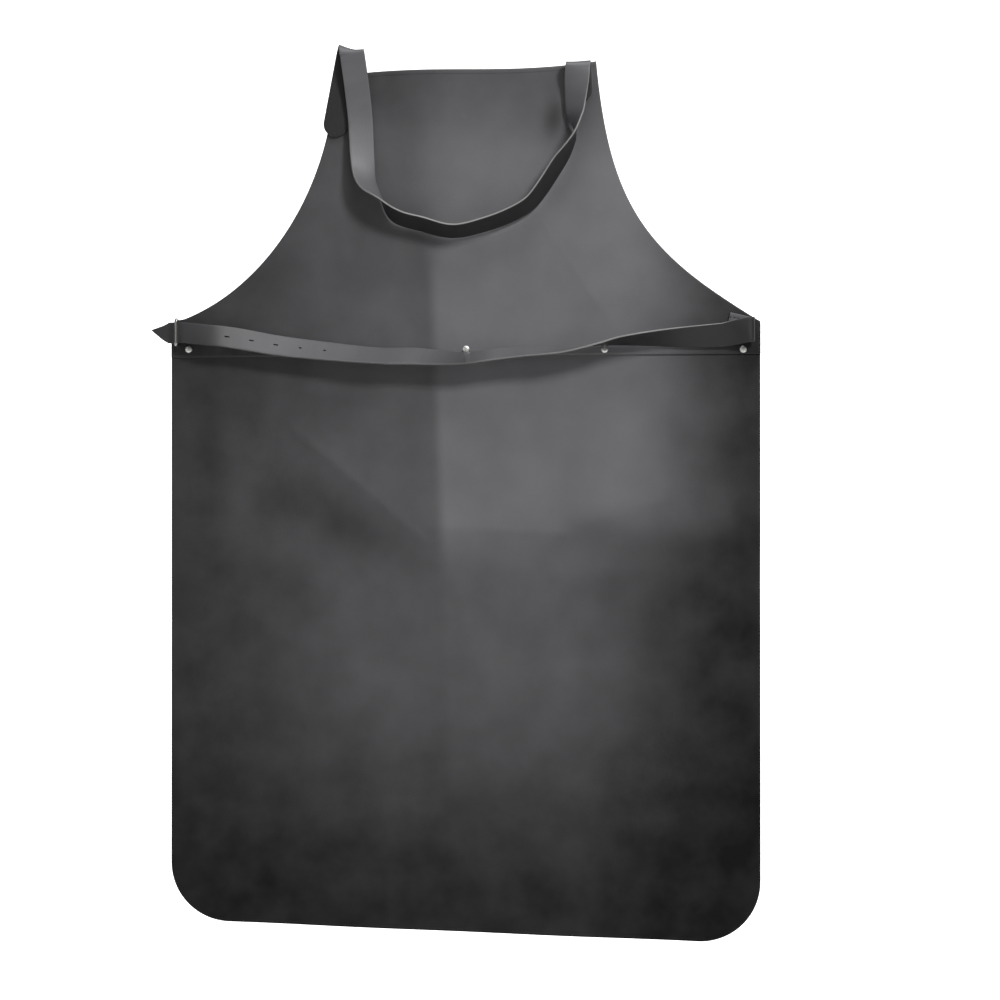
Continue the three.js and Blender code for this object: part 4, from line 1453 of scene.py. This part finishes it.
@dataclass
class Sewing:
    """Rows of stitches that hold the strap ends and the tab, seen in front and on the bib's back."""

    thread: bpy.types.Material
    stitch: float = 3.4
    gap: float = 1.1
    thread_radius: float = 0.42
    inset: float = 3.2
    strap_half: float = STRAP_WIDE / 2
    lie: float = 1.05  # how far in front of the strap's middle the thread lies
    back_y: float = 0.05  # where it lies on the bib's back
    rows: list[np.ndarray] = field(default_factory=list)

    def add_row(self, line: list, front_y: float) -> None:
        """Adds one row in front and on the bib's back; line has its corners, with X and Z."""
        for y in (front_y, self.back_y):
            self.rows.append(np.array([(x, y, z) for x, z in line]))

    def around_neck_end(self, fold: NeckFold, top: float) -> None:
        """Adds the row down one edge of a sewn neck end, round its tip and up the other edge."""
        high, low = fold.sewn(0), fold.sewn(1)
        along = low.at - high.at
        length = np.linalg.norm(along)
        along /= length
        across = high.across - along * np.dot(high.across, along)
        across /= np.linalg.norm(across)
        reach = self.strap_half - self.inset
        first = (high.at[2] - top) / -along[2]
        line = [high.at + along * first + across * reach]
        for turn in np.radians(np.linspace(0, 180, 13)):
            down = length - self.strap_half + reach * math.sin(turn)
            line.append(high.at + along * down + across * reach * math.cos(turn))
        line.append(high.at + along * first - across * reach)
        self.add_row([(p[0], p[2]) for p in line], fold.sewn_y - self.lie)

    def box(self, low_x: float, high_x: float, z: float, climb: float, half: float, front_y: float) -> None:
        """Adds a closed four-sided row; climb is how far it rises from its right side to its left."""
        left = z + climb
        line = [(high_x, z + half), (low_x, left + half), (low_x, left - half), (high_x, z - half)]
        self.add_row([*line, line[0]], front_y)

    def tree(self) -> tuple[bpy.types.NodeTree, dict]:
        """Builds the tree that lays a long bead for each stitch along the rows."""
        sockets = node_sockets("Material", "Pitch", "Stitch", "Thread")
        tree, given, out, known = node_tool("stitches_on_rows", sockets)
        curve = add_node(tree, "GeometryNodeMeshToCurve", {"Mesh": given.outputs["Geometry"]})
        inputs = {"Curve": curve.outputs["Curve"], "Length": given.outputs["Pitch"]}
        even = add_node(tree, "GeometryNodeResampleCurve", inputs, mode="LENGTH").outputs["Curve"]
        bead = add_node(tree, "GeometryNodeMeshUVSphere", {"Segments": 8, "Rings": 6, "Radius": 1.0})
        half = maths(tree, "MULTIPLY", given.outputs["Stitch"], 0.5)
        size = vector(tree, given.outputs["Thread"], given.outputs["Thread"], half)
        inputs = {"Geometry": bead.outputs["Mesh"], "Scale": size}
        long_bead = add_node(tree, "GeometryNodeTransform", inputs).outputs["Geometry"]
        tangent = add_node(tree, "GeometryNodeInputTangent").outputs[0]
        aim = add_node(tree, "FunctionNodeAlignRotationToVector", {"Vector": tangent}, axis="Z")
        placing = {"Rotation": aim.outputs["Rotation"]}
        place_copies(tree, out, even, long_bead, given.outputs["Material"], placing)
        return tree, known

    def build(self) -> bpy.types.Object:
        """Makes all the stitches as one piece."""
        tree, known = self.tree()
        points, edges = [], []
        for row in self.rows:
            base = len(points)
            points += (row * MM).tolist()
            edges += [(base + i, base + i + 1) for i in range(len(row) - 1)]
        mesh = bpy.data.meshes.new("stitch_rows")
        mesh.from_pydata(points, edges, [])
        values = {
            "Pitch": (self.stitch + self.gap) * MM,
            "Stitch": self.stitch * MM,
            "Thread": self.thread_radius * MM,
            "Material": self.thread,
        }
        made = run_tool(tree, known, mesh, values, "stitches")
        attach(made, "apron")
        return made


# ---------------------------------------------------------------- studio


@dataclass(frozen=True)
class Lamp:
    """A soft square studio lamp aimed at a point, in metres."""

    name: str
    at: tuple[float, float, float]
    aim: tuple[float, float, float]
    size: float
    watts: float

    def build(self) -> None:
        """Makes the lamp."""
        light = bpy.data.lights.new(self.name, "AREA")
        light.shape, light.size, light.energy = "SQUARE", self.size, self.watts
        lamp = bpy.data.objects.new(self.name, light)
        lamp.location = self.at
        lamp.rotation_euler = (Vector(self.aim) - Vector(self.at)).to_track_quat("-Z", "Y").to_euler()
        bpy.context.scene.collection.objects.link(lamp)


@dataclass
class Studio:
    """A pale floor that curves up behind, soft lamps, and a camera square to the apron's front."""

    floor_z: float = -1.3
    wall_y: float = 3.4
    curve: float = 1.2  # radius of the bend between the floor and the wall
    half_width: float = 6.0
    aim_x: float = 0.035
    aim_z: float = -0.4435
    distance: float = 2.43
    lens: float = 85.0
    ambient: float = 0.07
    lamps: tuple[Lamp, ...] = (
        Lamp("key", (1.5, -2.1, 1.5), (0.05, 0, -0.35), 0.6, 68),
        Lamp("top", (0.1, -0.9, 2.2), (0, 0, -0.2), 0.9, 30),
        Lamp("fill", (-1.9, -2.2, 0.1), (0, 0, -0.5), 1.6, 8),
    )

    def paper(self) -> bpy.types.Material:
        """Builds the white paper, which glows more the further back it is."""
        made, tree, shader = start_material("white_paper_sweep")
        at = add_node(tree, "ShaderNodeTexCoord").outputs["Object"]
        depth = add_node(tree, "ShaderNodeSeparateXYZ", {0: at}).outputs["Y"]
        looks = {
            "Base Color": linear("#f2f2f2"),
            "Roughness": 0.9,
            "Emission Color": linear("#ffffff"),
            "Emission Strength": ranged(tree, depth, (0.1, 0.9), (0.0, 1.0)),
        }
        feed(tree, shader, looks)
        return made

    def sweep(self) -> None:
        """Makes the floor, which curves up to a wall behind."""
        start, r = self.wall_y - self.curve, self.curve
        line = [(-4.5, self.floor_z), (start, self.floor_z)]
        for turn in np.radians(np.linspace(-80, 0, 9)):
            line.append((start + r * math.cos(turn), self.floor_z + r + r * math.sin(turn)))
        line.append((self.wall_y, 4.0))
        points = [(x, y, z) for x in (-self.half_width, self.half_width) for y, z in line]
        n = len(line)
        faces = [[i, i + 1, n + i + 1, n + i] for i in range(n - 1)]
        floor = mesh_object("floor", np.array(points) / MM, faces, self.paper())
        shade(floor.data, 60)

    def camera(self) -> None:
        """Makes the camera and sets it square to the apron's front."""
        data = bpy.data.cameras.new("camera")
        data.lens, data.sensor_width = self.lens, 36
        made = bpy.data.objects.new("camera", data)
        made.location = (self.aim_x, -self.distance, self.aim_z)
        made.rotation_euler = (math.pi / 2, 0, 0)
        bpy.context.scene.collection.objects.link(made)
        bpy.context.scene.camera = made

    def build(self) -> None:
        """Makes the floor, the lamps, the ambient light and the camera."""
        self.sweep()
        for lamp in self.lamps:
            lamp.build()
        world = bpy.data.worlds.new("studio")
        bpy.context.scene.world = world
        world.use_nodes = True
        ambient = {"Color": linear("#ffffff"), "Strength": self.ambient}
        feed(world.node_tree, world.node_tree.nodes["Background"], ambient)
        bpy.context.scene.view_settings.view_transform = "Standard"
        self.camera()


def main() -> None:
    """Builds the apron's pieces in order, then the studio round them."""
    logging.basicConfig(level=logging.INFO, format="%(message)s")
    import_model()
    panel_leather = PanelLeather().material()
    strap_leather = StrapLeather().material()
    nickel = Metal("bright_nickel_plate", "#efeeea", 0.42, 2.0, 0.05).material()
    steel = Metal("drawn_steel_wire", "#a9a9a6", 0.3, 0.8, 0.12).material()
    thread = WaxedThread().material()

    places = np.array([(x, RIVET_Z) for x in np.linspace(-RIVET_REACH, RIVET_REACH, 5)])
    neck = NeckStrap(strap_leather)
    waist = WaistStrap(strap_leather)
    ring = WireLoop(steel, strap_leather)
    made = Panels(Outline(), panel_leather, places).build()
    made += Rivets(nickel, places).build()
    made += neck.build()
    made += waist.build()
    made += ring.build()

    sewing = Sewing(thread)
    sewing.around_neck_end(neck.left, -14.0)
    sewing.around_neck_end(neck.right, -5.0)
    fold_z = waist.rivet_z + waist.fold_rise
    sewing.box(waist.fold_x - 19, waist.fold_x - 2, fold_z, 4.0, 9.4, waist.end_y - sewing.lie)
    sewing.box(ring.x + 8, ring.x + 24, ring.z, 0, 6.0, ring.tab_back - 2.15)
    made.append(sewing.build())
    for piece in made:
        log.info("%s: %d faces", piece.name, len(piece.data.polygons))

    Studio().build()


if __name__ == "__main__":
    main()
